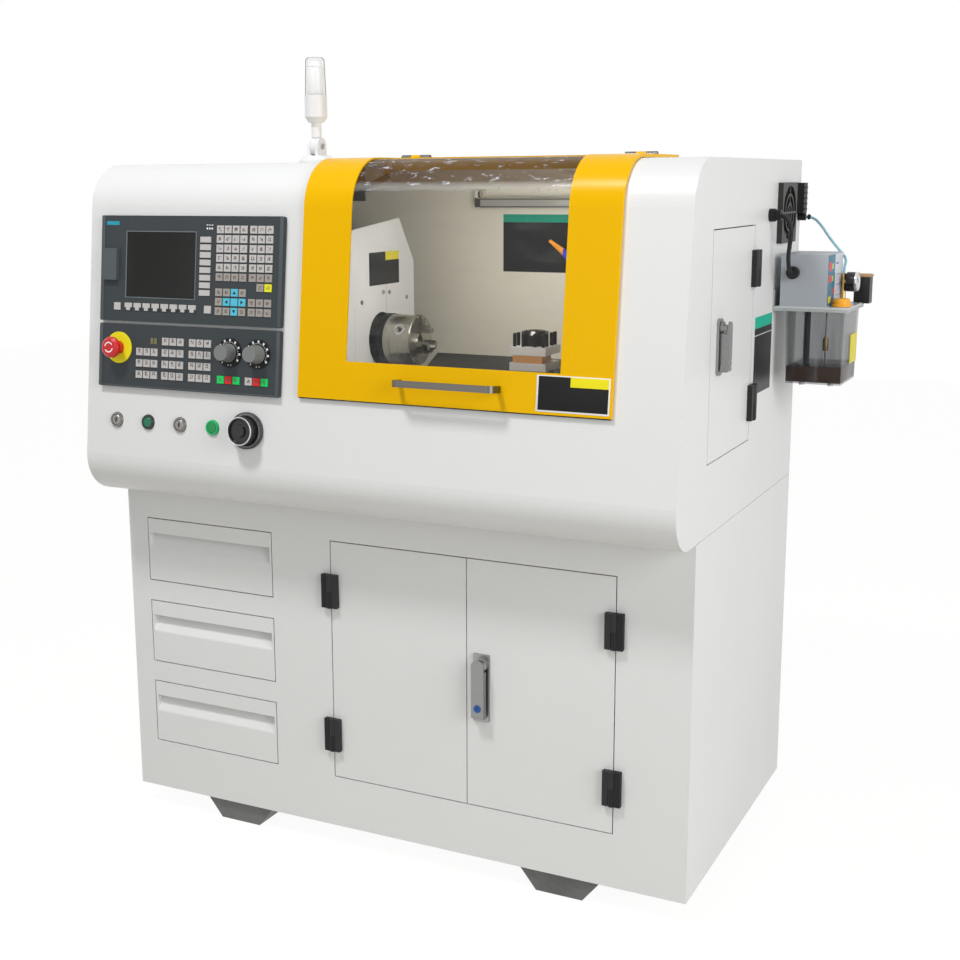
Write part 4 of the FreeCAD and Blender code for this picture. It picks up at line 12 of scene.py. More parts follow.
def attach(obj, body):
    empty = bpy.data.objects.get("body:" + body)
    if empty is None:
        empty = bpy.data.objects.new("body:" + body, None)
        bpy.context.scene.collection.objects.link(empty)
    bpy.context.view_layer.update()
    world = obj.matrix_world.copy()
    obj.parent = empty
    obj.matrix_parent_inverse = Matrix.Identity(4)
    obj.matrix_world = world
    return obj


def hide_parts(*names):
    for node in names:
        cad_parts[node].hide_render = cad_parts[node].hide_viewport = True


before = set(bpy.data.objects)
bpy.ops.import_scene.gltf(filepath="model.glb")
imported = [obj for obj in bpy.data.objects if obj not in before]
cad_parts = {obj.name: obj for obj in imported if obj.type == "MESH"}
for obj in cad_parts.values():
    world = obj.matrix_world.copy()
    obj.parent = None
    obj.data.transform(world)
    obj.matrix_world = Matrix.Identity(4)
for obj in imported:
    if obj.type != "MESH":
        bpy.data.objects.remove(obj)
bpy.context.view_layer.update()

# Looks of a compact turning lathe. Metres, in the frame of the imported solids: X to the
# operator's right, Y to the back, Z up, origin on the floor between the anchor holes.
# Trims, zones and printed marks are in millimetres.

LOG = logging.getLogger("lathe")
MACHINE = "machine"
MM = 0.001
MM_PER_M = 1000.0
TILT = math.radians(6.5)
FRONT_Y = -0.457
HOOD_LOW = 0.700
PANEL_X = -567.0
PANEL_RISE = 218.0
PANEL_FACE = 9.0
SWITCH_ROW = 153.0
SPINDLE_AXIS = (0.033, 0.976)
SEEN_RAYS = ("Is Camera Ray", "Is Glossy Ray", "Is Transmission Ray")

# The bearing, in turns either way, past which a printed ring is closed.
ALL_ROUND = 0.51

# Sockets of a node that mixes colours: the factor, both colours, and the result.
MIX_INPUTS = (0, 6, 7)
MIX_RESULT = 2

Colour = tuple[float, float, float]
Point = tuple[float, float, float]
Spot = tuple[float, float]


class Plane(Enum):
    """The surface whose coordinates a printed pattern follows: across, then up."""

    FRONT = "the hood's leaning front"
    FACE = "upright, facing the operator"
    SIDE = "upright, facing right"
    LEVEL = "level, facing up"


# Shader expressions


class Wire:
    """A socket in a shader expression; each operator adds one Math node."""

    def __init__(self, graph: "Graph", socket: bpy.types.NodeSocket) -> None:
        """Keep the graph that the socket belongs to."""
        self.graph = graph
        self.socket = socket

    def math(self, operation: str, *values: "Wire | float") -> "Wire":
        """Add a Math node that takes this socket first, then the values."""
        return self.graph.node("ShaderNodeMath", {"operation": operation}, (self, *values))

    def _reflected(self, operation: str, value: float) -> "Wire":
        """The same with this socket second."""
        return self.graph.node("ShaderNodeMath", {"operation": operation}, (value, self))

    def __add__(self, other: "Wire | float") -> "Wire":
        """Sum."""
        return self.math("ADD", other)

    def __radd__(self, other: float) -> "Wire":
        """Sum with a number first."""
        return self._reflected("ADD", other)

    def __sub__(self, other: "Wire | float") -> "Wire":
        """Difference."""
        return self.math("SUBTRACT", other)

    def __rsub__(self, other: float) -> "Wire":
        """Difference with a number first."""
        return self._reflected("SUBTRACT", other)

    def __mul__(self, other: "Wire | float") -> "Wire":
        """Product."""
        return self.math("MULTIPLY", other)

    def __truediv__(self, other: "Wire | float") -> "Wire":
        """Quotient."""
        return self.math("DIVIDE", other)

    def above(self, edge: float) -> "Wire":
        """One where the value is greater than the edge, zero elsewhere."""
        return self.math("GREATER_THAN", edge)

    def below(self, edge: float) -> "Wire":
        """One where the value is less than the edge, zero elsewhere."""
        return self.math("LESS_THAN", edge)

    def between(self, low: float, high: float) -> "Wire":
        """One between two edges, zero elsewhere."""
        return self.above(low) * self.below(high)


class Graph:
    """The node tree of a material or of the world, and the few ways to add nodes to it."""

    def __init__(
        self, owner: bpy.types.Material | bpy.types.World, output: str = "ShaderNodeOutputMaterial"
    ) -> None:
        """Start a tree that holds only its output.

        Args:
            owner: whose tree it is.
            output: the output node's type.
        """
        owner.use_nodes = True
        self.owner = owner
        self.tree = owner.node_tree
        self.tree.nodes.clear()
        self.output = self.tree.nodes.new(output)

    def node(
        self, kind: str, settings: dict[str, object] | None = None,
        inputs: Sequence[object] | dict[str, object] = (), output: int | str = 0,
    ) -> Wire:
        """Add a node of any type.

        Args:
            kind: the node's type name.
            settings: its own settings, set first; "stops" fills a colour ramp.
            inputs: values or links of its sockets, in order or by name.
            output: which of its outputs to return.

        Returns:
            That output as a wire.
        """
        node = self.tree.nodes.new(kind)
        for key, value in (settings or {}).items():
            if key == "stops":
                self._fill_ramp(node, value)
            else:
                setattr(node, key, value)
        pairs = inputs.items() if isinstance(inputs, dict) else enumerate(inputs)
        for key, value in pairs:
            socket = node.inputs[key]
            if isinstance(value, Wire):
                self.tree.links.new(value.socket, socket)
            elif value is not None:
                socket.default_value = value
        return Wire(self, node.outputs[output])

    def _fill_ramp(self, node: bpy.types.Node, stops: Sequence[Spot]) -> None:
        """Give a colour ramp its two stops.

        Args:
            node: the ramp.
            stops: pairs of a position and a grey value.
        """
        for element, (position, shade) in zip(node.color_ramp.elements, stops):
            element.position = position
            element.color = (shade, shade, shade, 1)

    def place(self) -> Wire:
        """The surface point in the object's own frame."""
        return self.node("ShaderNodeTexCoord", output="Object")

    def mapped(self, scale: Point) -> Wire:
        """The surface point, scaled."""
        return self.node("ShaderNodeMapping", {}, {"Vector": self.place(), "Scale": scale})

    def axis(self, name: str) -> Wire:
        """One coordinate of the surface point."""
        return self.node("ShaderNodeSeparateXYZ", {}, (self.place(),), output=name)

    def flat(self, plane: Plane) -> tuple[Wire, Wire]:
        """The surface point as seen on a plane.

        Args:
            plane: the plane.

        Returns:
            How far it lies across and up, in millimetres.
        """
        across = self.axis("Y" if plane is Plane.SIDE else "X") * MM_PER_M
        if plane is not Plane.FRONT:
            return across, self.axis("Z") * MM_PER_M
        back = (self.axis("Y") - FRONT_Y) * (MM_PER_M * math.sin(TILT))
        up = (self.axis("Z") - HOOD_LOW) * (MM_PER_M * math.cos(TILT))
        return across, back + up

    def noise(
        self, scale: float, detail: float = 3.0, rough: float = 0.5, vector: Wire | None = None
    ) -> Wire:
        """Fractal noise.

        Args:
            scale: how fine it is, in cells to the metre.
            detail: how many finer layers it has.
            rough: how strong those are.
            vector: the point that it follows, if not the surface point.

        Returns:
            A value from 0 to 1.
        """
        inputs = {"Vector": vector or self.place(), "Scale": scale, "Detail": detail}
        return self.node("ShaderNodeTexNoise", {}, inputs | {"Roughness": rough})

    def ramp(self, value: Wire, *stops: Spot) -> Wire:
        """A ramp over a value, from its first stop to its second."""
        return self.node("ShaderNodeValToRGB", {"stops": stops}, (value,))

    def blend(self, factor: Wire, first: Wire | Colour, second: Wire | Colour) -> Wire:
        """A mix of two colours.

        Args:
            factor: the second colour's share.
            first: a colour.
            second: the colour mixed into it.

        Returns:
            The mix.
        """
        values = (factor, *((*c, 1) if isinstance(c, tuple) else c for c in (first, second)))
        inputs = dict(zip(MIX_INPUTS, values))
        return self.node("ShaderNodeMix", {"data_type": "RGBA"}, inputs, MIX_RESULT)

    def bump(self, height: Wire, depth: float, strength: float = 1.0) -> Wire:
        """A normal from a height of 0 to 1, where 1 stands for the depth in metres."""
        inputs = {"Strength": strength, "Distance": depth, "Height": height}
        return self.node("ShaderNodeBump", {}, inputs)

    def seen(self) -> Wire:
        """One for the rays that see the studio as white, zero for those that light it."""
        camera, metal, glass = (self.node("ShaderNodeLightPath", output=ray) for ray in SEEN_RAYS)
        return camera.math("MAXIMUM", metal).math("MAXIMUM", glass)

    def principled(self, **sockets: object) -> Wire:
        """Add a principled shader.

        Args:
            sockets: its inputs, with an underscore for each space.

        Returns:
            The shader.
        """
        inputs = {key.replace("_", " "): value for key, value in sockets.items()}
        return self.node("ShaderNodeBsdfPrincipled", {}, inputs)

    def close(self, shader: Wire) -> bpy.types.Material | bpy.types.World:
        """Link a shader to the output and give back the tree's owner."""
        self.tree.links.new(shader.socket, self.output.inputs["Surface"])
        return self.owner


# Finishes


def dim(colour: Colour, share: float) -> Colour:
    """A colour at a share of its strength."""
    return tuple(c * share for c in colour)


@dataclass(frozen=True)
class Finish:
    """A named surface finish, made into a material once."""

    name: str
    colour: Colour

    def material(self) -> bpy.types.Material:
        """The finish's material, made on first use.

        Returns:
            The material.
        """
        name = f"{self.name}_look"
        if name not in bpy.data.materials:
            graph = Graph(bpy.data.materials.new(name))
            graph.close(graph.principled(**self.sockets(graph)))
        return bpy.data.materials[name]

    def sockets(self, graph: Graph) -> dict[str, object]:
        """What goes into the principled shader; each kind of finish has its own way."""
        raise NotImplementedError


@dataclass(frozen=True)
class PowderCoat(Finish):
    """Baked powder coat: faint orange peel, slight shade drift and soft handling marks."""

    roughness: float = 0.34
    peel: float = 0.00006
    drift: float = 0.03
    marks: float = 0.06
    gloss: float = 0.5

    def sockets(self, graph: Graph) -> dict[str, object]:
        """Peel as bump, drift in the colour, marks in the roughness.

        Args:
            graph: the material's tree.

        Returns:
            The shader's inputs.
        """
        cloud = graph.noise(3.2, 4.0)
        fine = graph.noise(420.0, 2.0)
        marks = graph.ramp(graph.noise(9.0, 6.0, 0.62), (0.45, 0.0), (0.75, 1.0))
        return {
            "Base_Color": graph.blend(cloud, self.colour, dim(self.colour, 1 - self.drift)),
            "Roughness": self.roughness + marks * self.marks + fine * 0.05,
            "Specular_IOR_Level": self.gloss,
            "Normal": graph.bump(fine, self.peel),
        }


@dataclass(frozen=True)
class BrushedMetal(Finish):
    """Ground or brushed metal, its fine lines along one axis."""

    roughness: float = 0.3
    stretch: Point = (4.0, 900.0, 900.0)
    depth: float = 0.00003
    cloud_scale: float = 14.0
    wear: Spot = (0.6, 0.3)
    worn_share: float = 0.72
    dulling: Spot = (0.16, 0.06)

    def lines(self, graph: Graph) -> Wire:
        """Noise that is stretched along the lines."""
        return graph.noise(1.0, 3.0, 0.6, graph.mapped(self.stretch))

    def sockets(self, graph: Graph) -> dict[str, object]:
        """The lines and a cloud of handling darken the metal and dull it.

        Args:
            graph: the material's tree.

        Returns:
            The shader's inputs.
        """
        lines = self.lines(graph)
        cloud = graph.noise(self.cloud_scale, 4.0)
        wear = lines * self.wear[0] + cloud * self.wear[1]
        return {
            "Base_Color": graph.blend(wear, self.colour, dim(self.colour, self.worn_share)),
            "Metallic": 1.0,
            "Roughness": self.roughness + lines * self.dulling[0] + cloud * self.dulling[1],
            "Normal": graph.bump(lines, self.depth),
        }


@dataclass(frozen=True)
class TurnedMetal(BrushedMetal):
    """Metal turned about an axis along X: fine rings on faces and outsides."""

    centre: Spot = SPINDLE_AXIS
    ring_scale: float = 2400.0
    depth: float = 0.00002
    cloud_scale: float = 26.0
    wear: Spot = (0.5, 0.35)
    worn_share: float = 0.62
    dulling: Spot = (0.14, 0.1)

    def lines(self, graph: Graph) -> Wire:
        """Rings follow the distance from the axis and the place along it.

        Args:
            graph: the material's tree.

        Returns:
            The rings.
        """
        across = graph.axis("Y") - self.centre[0]
        high = graph.axis("Z") - self.centre[1]
        radius = (across * across + high * high).math("SQRT")
        inputs = {"W": radius + graph.axis("X"), "Scale": self.ring_scale, "Detail": 2.0}
        return graph.node("ShaderNodeTexNoise", {"noise_dimensions": "1D"}, inputs)


@dataclass(frozen=True)
class PaintedIron(Finish):
    """Dark machine paint over a cast skin, oily in places."""

    roughness: float = 0.42

    def sockets(self, graph: Graph) -> dict[str, object]:
        """Cast lumps as bump, an oil film in colour and roughness.

        Args:
            graph: the material's tree.

        Returns:
            The shader's inputs.
        """
        skin = graph.noise(160.0, 5.0, 0.6)
        film = graph.ramp(graph.noise(11.0, 5.0, 0.65), (0.4, 0.0), (0.68, 1.0))
        lighter = tuple(min(1.0, c * 1.7 + 0.01) for c in self.colour)
        return {
            "Base_Color": graph.blend(film, lighter, self.colour),
            "Roughness": self.roughness - film * 0.2 + skin * 0.08,
            "Normal": graph.bump(skin, 0.00025),
        }


@dataclass(frozen=True)
class Moulded(Finish):
    """Moulded plastic or rubber with a fine grain."""

    roughness: float = 0.4
    grain: float = 0.00008
    grain_scale: float = 900.0
    gloss: float = 0.5

    def shade(self, graph: Graph, cloud: Wire) -> Wire:
        """The colour, a little uneven."""
        return graph.blend(cloud, self.colour, dim(self.colour, 0.88))

    def sockets(self, graph: Graph) -> dict[str, object]:
        """Grain as bump and a little unevenness in colour and gloss.

        Args:
            graph: the material's tree.

        Returns:
            The shader's inputs.
        """
        grain = graph.noise(self.grain_scale, 2.0)
        cloud = graph.noise(30.0, 3.0)
        return {
            "Base_Color": self.shade(graph, cloud),
            "Roughness": self.roughness + grain * 0.08 + cloud * 0.05,
            "Specular_IOR_Level": self.gloss,
            "Normal": graph.bump(grain, self.grain),
        }


@dataclass(frozen=True)
class ClearSheet(Finish):
    """Clear plastic with faint streaks; above the film's height the film carries a painted dark
    brown reflection and painted white glints.
    """

    alpha: float = 0.16
    streaks: float = 0.12
    roughness: float = 0.06
    film: float | None = None
    # Painted light on the film: a dark brown reflection and white glints, each with its colour,
    # opacity and spread.
    painted_reflection_brown: Colour = (0.10, 0.05, 0.018)
    painted_reflection_alpha: float = 0.46
    painted_reflection_fade: float = 60.0
    painted_glint_white: Colour = (0.80, 0.84, 0.95)
    painted_glint_alpha: float = 0.42
    painted_glint_stretch: Point = (38.0, 90.0, 90.0)
    stretch: Point = (9.0, 34.0, 34.0)
    wiped: Colour = (0.95, 0.95, 0.93)
    gloss: float = 0.3

    def sockets(self, graph: Graph) -> dict[str, object]:
        """Streaks raise the opacity a little and break the gloss; a painted reflection and painted
        glints lie above the film's height.

        Args:
            graph: the material's tree.

        Returns:
            The shader's inputs.
        """
        smear = graph.noise(1.0, 5.0, 0.62, graph.mapped(self.stretch))
        streak = graph.ramp(smear, (0.5, 0.0), (0.8, 1.0))
        shade = graph.blend(streak, self.colour, self.wiped)
        alpha = self.alpha + streak * self.streaks
        # Above the film's height: a painted brown reflection that fades in just above it, and
        # painted glints along the film's wrinkles; both raise the opacity.
        if self.film is not None:
            high = graph.axis("Z") - self.film
            wrinkle = graph.noise(1.0, 6.0, 0.7, graph.mapped(self.painted_glint_stretch))
            painted_glint = graph.ramp(wrinkle, (0.58, 0.0), (0.68, 1.0)) * high.above(0.0)
            painted_reflection_share = graph.ramp(high * self.painted_reflection_fade, (0.0, 0.0), (1.0, 1.0))
            shade = graph.blend(painted_reflection_share, shade, self.painted_reflection_brown)
            shade = graph.blend(painted_glint, shade, self.painted_glint_white)
            alpha = alpha + painted_glint * self.painted_glint_alpha + painted_reflection_share * self.painted_reflection_alpha
        return {
            "Base_Color": shade,
            "Roughness": self.roughness + streak * 0.2,
            "Specular_IOR_Level": self.gloss,
            "Alpha": alpha,
            "Normal": graph.bump(smear, 0.0002, 0.4),
        }


@dataclass(frozen=True)
class Lit(Finish):
    """A diffuser lit from behind."""

    glow: float = 1.0

    def sockets(self, graph: Graph) -> dict[str, object]:
        """An even glow with a faint cell pattern.

        Args:
            graph: the material's tree.

        Returns:
            The shader's inputs.
        """
        cells = graph.node("ShaderNodeTexVoronoi", {}, {"Vector": graph.place(), "Scale": 240.0})
        tone = graph.blend(cells * 0.4, self.colour, dim(self.colour, 0.8))
        return {
            "Base_Color": tone,
            "Roughness": 0.3,
            "Emission_Color": tone,
            "Emission_Strength": self.glow,
        }


# Printed marks and zones


@dataclass(frozen=True)
class Patch:
    """A printed rectangle."""

    low: Spot
    high: Spot
    colour: Colour

    def mask(self, u: Wire, v: Wire) -> Wire:
        """One inside the rectangle."""
        return u.between(self.low[0], self.high[0]) * v.between(self.low[1], self.high[1])


@dataclass(frozen=True)
class Arc:
    """A printed ring, or the part of it between two bearings in turns from straight up."""

    centre: Spot
    inner: float
    outer: float
    colour: Colour
    start: float = -ALL_ROUND
    end: float = ALL_ROUND

    def polar(self, u: Wire, v: Wire) -> tuple[Wire, Wire]:
        """The point about the ring's centre.

        Args:
            u: how far it lies across.
            v: how far it lies up.

        Returns:
            Its distance, and its bearing in turns.
        """
        across, up = u - self.centre[0], v - self.centre[1]
        radius = (across * across + up * up).math("SQRT")
        return radius, across.math("ARCTAN2", up) * (0.5 / math.pi)

    def mask(self, u: Wire, v: Wire) -> Wire:
        """One on the ring."""
        radius, bearing = self.polar(u, v)
        return radius.between(self.inner, self.outer) * bearing.between(self.start, self.end)


@dataclass(frozen=True)
class Ticks(Arc):
    """Printed ticks around a dial; their count is that of a full turn."""

    count: int = 20
    share: float = 0.3

    def mask(self, u: Wire, v: Wire) -> Wire:
        """One on each tick."""
        turns = self.polar(u, v)[1] * float(self.count) + 100.0
        return super().mask(u, v) * turns.math("FRACT").below(self.share)


@dataclass(frozen=True)
class Legends:
    """Small dark marks in the middle of every key of a grid."""

    low: Spot
    high: Spot
    pitch: Spot
    colour: Colour = (0.13, 0.10, 0.10)
    wide: Spot = (0.24, 0.62)
    tall: Spot = (0.22, 0.60)
    grain_scale: float = 430.0
    grain_edge: float = 0.49

    def mask(self, u: Wire, v: Wire) -> Wire:
        """One on each mark.

        Args:
            u: how far the point lies across.
            v: how far it lies up.

        Returns:
            The mask.
        """
        area = Patch(self.low, self.high, self.colour).mask(u, v)
        across = ((u - self.low[0]) / self.pitch[0]).math("FRACT").between(*self.wide)
        up = ((v - self.low[1]) / self.pitch[1]).math("FRACT").between(*self.tall)
        strokes = u.graph.noise(self.grain_scale, 1.0).above(self.grain_edge)
        return area * across * up * strokes


@dataclass(frozen=True)
class Arrow:
    """A printed arrow head on a cursor key, pointing along one direction."""

    centre: Spot
    direction: Spot
    colour: Colour = (0.01, 0.01, 0.01)
    slope: float = 0.62
    half: float = 1.9
    back: float = 3.0

    def mask(self, u: Wire, v: Wire) -> Wire:
        """One on the arrow head.

        Args:
            u: how far the point lies across.
            v: how far it lies up.

        Returns:
            The mask.
        """
        across, up = u - self.centre[0], v - self.centre[1]
        ahead = across * self.direction[0] + up * self.direction[1]
        beside = (across * self.direction[1] + up * self.direction[0]).math("ABSOLUTE")
        return (beside + ahead * self.slope).below(self.half) * ahead.above(-self.back)


@dataclass(frozen=True)
class Printed(Moulded):
    """A moulded surface with printed marks on it."""

    plane: Plane = Plane.FRONT
    marks: tuple = ()

    def shade(self, graph: Graph, cloud: Wire) -> Wire:
        """The marks lie over the plain shade in their order.

        Args:
            graph: the material's tree.
            cloud: what makes the plain shade uneven.

        Returns:
            The colour.
        """
        shade = super().shade(graph, cloud)
        u, v = graph.flat(self.plane)
        for mark in self.marks:
            shade = graph.blend(mark.mask(u, v), shade, mark.colour)
        return shade


@dataclass(frozen=True)
class Zone:
    """A box, in millimetres, in which a solid has another finish."""

    low: Point
    high: Point
    colour: Colour
    metallic: float = 0.0
    roughness: float = 0.42
    alpha: float = 1.0

    def mask(self, graph: Graph) -> Wire:
        """One inside the box.

        Args:
            graph: the tree of the solid's material.

        Returns:
            The mask.
        """
        across, deep, high = (
            (graph.axis(name) * MM_PER_M).between(low, high)
            for name, low, high in zip("XYZ", self.low, self.high)
        )
        return across * deep * high


@dataclass(frozen=True)
class Zoned(Finish):
    """A solid of one body whose regions have different finishes."""

    zones: tuple[Zone, ...] = ()
    roughness: float = 0.34
    metallic: float = 0.0
    grain: float = 0.00006
    grain_scale: float = 420.0
    drift: float = 0.05
    gloss: float = 0.35
    # A painted dark rim where a clear zone is seen at a slant, standing in for refraction: its
    # colour, facing span and added opacity.
    rim: Colour | None = None
    painted_rim_span: Spot = (0.52, 0.74)
    painted_rim_alpha: float = 0.7

    def sockets(self, graph: Graph) -> dict[str, object]:
        """Each zone in turn lies over what is there; a painted dark rim, standing in for refraction
        seen at a slant, darkens and thickens clear edges.

        Args:
            graph: the material's tree.

        Returns:
            The shader's inputs.
        """
        cloud = graph.noise(9.0, 5.0, 0.6)
        fine = graph.noise(self.grain_scale, 2.0)
        shade = graph.blend(cloud, self.colour, dim(self.colour, 1 - self.drift))
        rough = fine * 0.06 + self.roughness
        metal = fine * 0.0 + self.metallic
        alpha = fine * 0.0 + 1.0
        for zone in self.zones:
            mask = zone.mask(graph)
            keep = 1.0 - mask
            tone = graph.blend(cloud, zone.colour, dim(zone.colour, 0.85))
            shade = graph.blend(mask, shade, tone)
            rough = rough * keep + mask * (fine * 0.08 + zone.roughness)
            metal = metal * keep + mask * zone.metallic
            alpha = alpha * keep + mask * zone.alpha
            # Painted shade: the clear zone's edges darken and thicken as the surface turns away, as
            # if by refraction.
            if self.rim:
                slant = graph.node("ShaderNodeLayerWeight", {}, {"Blend": 0.5}, output="Facing")
                edge = graph.ramp(slant, *zip(self.painted_rim_span, (0.0, 1.0))) * mask
                shade = graph.blend(edge, shade, self.rim)
                alpha = alpha + edge * self.painted_rim_alpha
        clear = any(zone.alpha < 1.0 for zone in self.zones)
        return {
            "Base_Color": shade,
            "Roughness": rough,
            "Metallic": metal,
            "Specular_IOR_Level": self.gloss,
            "Normal": graph.bump(fine, self.grain),
        } | ({"Alpha": alpha} if clear else {})


# The finishes of the machine


COAT: Colour = (0.80, 0.80, 0.79)
CYAN: Colour = (0.10, 0.52, 0.68)
GREEN: Colour = (0.01, 0.66, 0.13)
RED: Colour = (0.80, 0.03, 0.03)
MATT_BLACK: Colour = (0.014, 0.014, 0.015)
PANEL_PAINT: Colour = (0.035, 0.043, 0.048)
KEY_BEIGE: Colour = (0.36, 0.33, 0.30)
LED_WHITE: Colour = (0.85, 0.85, 0.85)
DIAL_WHITE: Colour = (0.82, 0.82, 0.80)
DIAL_GREY: Colour = (0.55, 0.55, 0.52)
PLATE_WHITE: Colour = (0.82, 0.82, 0.84)
LATCH_METAL: Colour = (0.36, 0.36, 0.36)
RING_GREEN: Colour = (0.004, 0.16, 0.05)

WHITE = PowderCoat("white_powder_coat", COAT)
YELLOW = PowderCoat("yellow_powder_coat", (0.88, 0.49, 0.0), roughness=0.24, drift=0.05, gloss=0.09)
SCREEN_BLACK = Moulded("screen_black", (0.007, 0.007, 0.006), roughness=0.12, grain=0.0, gloss=0.25)
BLACK = Moulded("black_plastic", (0.011, 0.011, 0.012), roughness=0.45, grain=0.0001, gloss=0.25)
FAN_BLACK = Moulded("fan_black", (0.024, 0.024, 0.022), roughness=0.42, grain=0.0001, gloss=0.4)
BLACK_GLOSS = Moulded("black_gloss", (0.012, 0.012, 0.014), roughness=0.16, grain=0.0)
ORANGE = Moulded("orange_plastic", (0.93, 0.42, 0.02), roughness=0.32)
RUBBER = Moulded("black_rubber", (0.013, 0.013, 0.013), roughness=0.5, grain=0.0002, gloss=0.3)
TUBE = Moulded("blue_tube", (0.32, 0.62, 0.74), roughness=0.25, grain=0.0)
TICK = Moulded("white_print", DIAL_WHITE, roughness=0.5)
KNOB_GREY = Moulded("knob_grey", (0.20, 0.207, 0.205), roughness=0.42)
SHELF_GREY = Moulded("shelf_grey", (0.44, 0.46, 0.455))
RAIL_GREY = Moulded("rail_grey", (0.056, 0.068, 0.077), roughness=0.45, grain=0.0001)
BEZEL_GREY = Moulded("bezel_grey", (0.13, 0.15, 0.165))
LOCK_BLUE = Moulded("lock_blue", (0.012, 0.085, 0.34), roughness=0.3)
DARK_GREEN = Moulded("dark_green_plastic", (0.005, 0.17, 0.08), roughness=0.22, grain=0.0)
TAN = Moulded("tan_lid", (0.42, 0.24, 0.11), roughness=0.45)
OIL = Moulded("oil", (0.07, 0.028, 0.008), roughness=0.1, grain=0.0, gloss=0.2)
CHROME = BrushedMetal("bright_chrome", (0.78, 0.78, 0.79), roughness=0.08, depth=0.000005)
NICKEL = BrushedMetal("satin_nickel", (0.46, 0.44, 0.42), roughness=0.24)
KEY_METAL = BrushedMetal("key_switch_metal", (0.36, 0.34, 0.32), roughness=0.2)
ZINC = BrushedMetal("latch_zinc", (0.58, 0.575, 0.55), roughness=0.36)
LEVER_STEEL = BrushedMetal("lever_steel", (0.33, 0.335, 0.33), roughness=0.34)
ALUMINIUM = BrushedMetal("plain_aluminium", (0.72, 0.73, 0.74), roughness=0.34)
GROUND = BrushedMetal("ground_steel", (0.56, 0.55, 0.53), roughness=0.26)
DARK_STEEL = BrushedMetal("dark_steel", (0.13, 0.13, 0.135))
BRASS = BrushedMetal("brass", (0.70, 0.48, 0.20), roughness=0.25)
JAW_STEEL = BrushedMetal("jaw_steel", (0.30, 0.285, 0.26), roughness=0.18)
BLACK_OXIDE = BrushedMetal("black_oxide", (0.022, 0.022, 0.022))
HANDLE_STEEL = BrushedMetal("handle_steel", (0.17, 0.16, 0.145), roughness=0.22)
CHUCK_STEEL = TurnedMetal("turned_steel", (0.50, 0.475, 0.415), roughness=0.16)
IRON = PaintedIron("machine_iron", (0.020, 0.020, 0.018))
FOOT_STEEL = PaintedIron("foot_paint", (0.095, 0.095, 0.092), roughness=0.5)
# The pane's film, above 1.285 m, carries a painted brown reflection and painted glints.
PANE = ClearSheet(
    "window_pane", (0.80, 0.82, 0.80), alpha=0.015, streaks=0.03, film=1.285, gloss=0.14
)
TANK = ClearSheet(
    "tank_plastic", (0.035, 0.042, 0.048), alpha=0.34, streaks=0.22, stretch=(75.0, 75.0, 3.0),
    wiped=(0.17, 0.19, 0.21),
)
DIFFUSER = Lit("beacon_diffuser", (0.86, 0.86, 0.86), glow=0.22)
LAMP_GLASS = Lit("lamp_diffuser", (0.20, 0.19, 0.165), glow=0.35)

KEY_WIDE, KEY_TALL = 15.0, 14.0
KEY_MARGIN = 0.8
KEY_PITCH = 17.4
ROW_PITCH = 21.6
KEY_ROW = 19.0


def on_panel(left: float, low: float, right: float, high: float, colour: Colour) -> Patch:
    """A patch between two corners, from the lower left corner of the operator's panels."""
    corners = (PANEL_X + left, PANEL_RISE + low), (PANEL_X + right, PANEL_RISE + high)
    return Patch(*corners, colour)


def key_patch(column: float, row: float, colour: Colour) -> Patch:
    """A patch that covers one key and a little round it.

    Args:
        column: the key's left edge on the panel.
        row: its lower edge.
        colour: the patch's colour.

    Returns:
        The patch.
    """
    left, low = column - KEY_MARGIN, row - KEY_MARGIN
    right, high = column + KEY_WIDE + KEY_MARGIN, row + KEY_TALL + KEY_MARGIN
    return on_panel(left, low, right, high, colour)


def key_grid(
    column: float, row: float, columns: int, rows: int, step: float = KEY_PITCH
) -> Legends:
    """The legends of a block of keys.

    Args:
        column: the block's left edge on the panel.
        row: its lower edge.
        columns: how many keys it has across.
        rows: how many it has up.
        step: from one row to the next.

    Returns:
        The legends.
    """
    low = (PANEL_X + column, PANEL_RISE + row)
    wide = KEY_PITCH * (columns - 1) + KEY_WIDE
    tall = step * (rows - 1) + KEY_TALL
    return Legends(low, (low[0] + wide, low[1] + tall), (KEY_PITCH, step))


def cursor_arrow(column: float, row: float, direction: Spot) -> Arrow:
    """The arrow in the middle of a cursor key."""
    return Arrow((PANEL_X + column + KEY_WIDE / 2, PANEL_RISE + row + KEY_TALL / 2), direction)


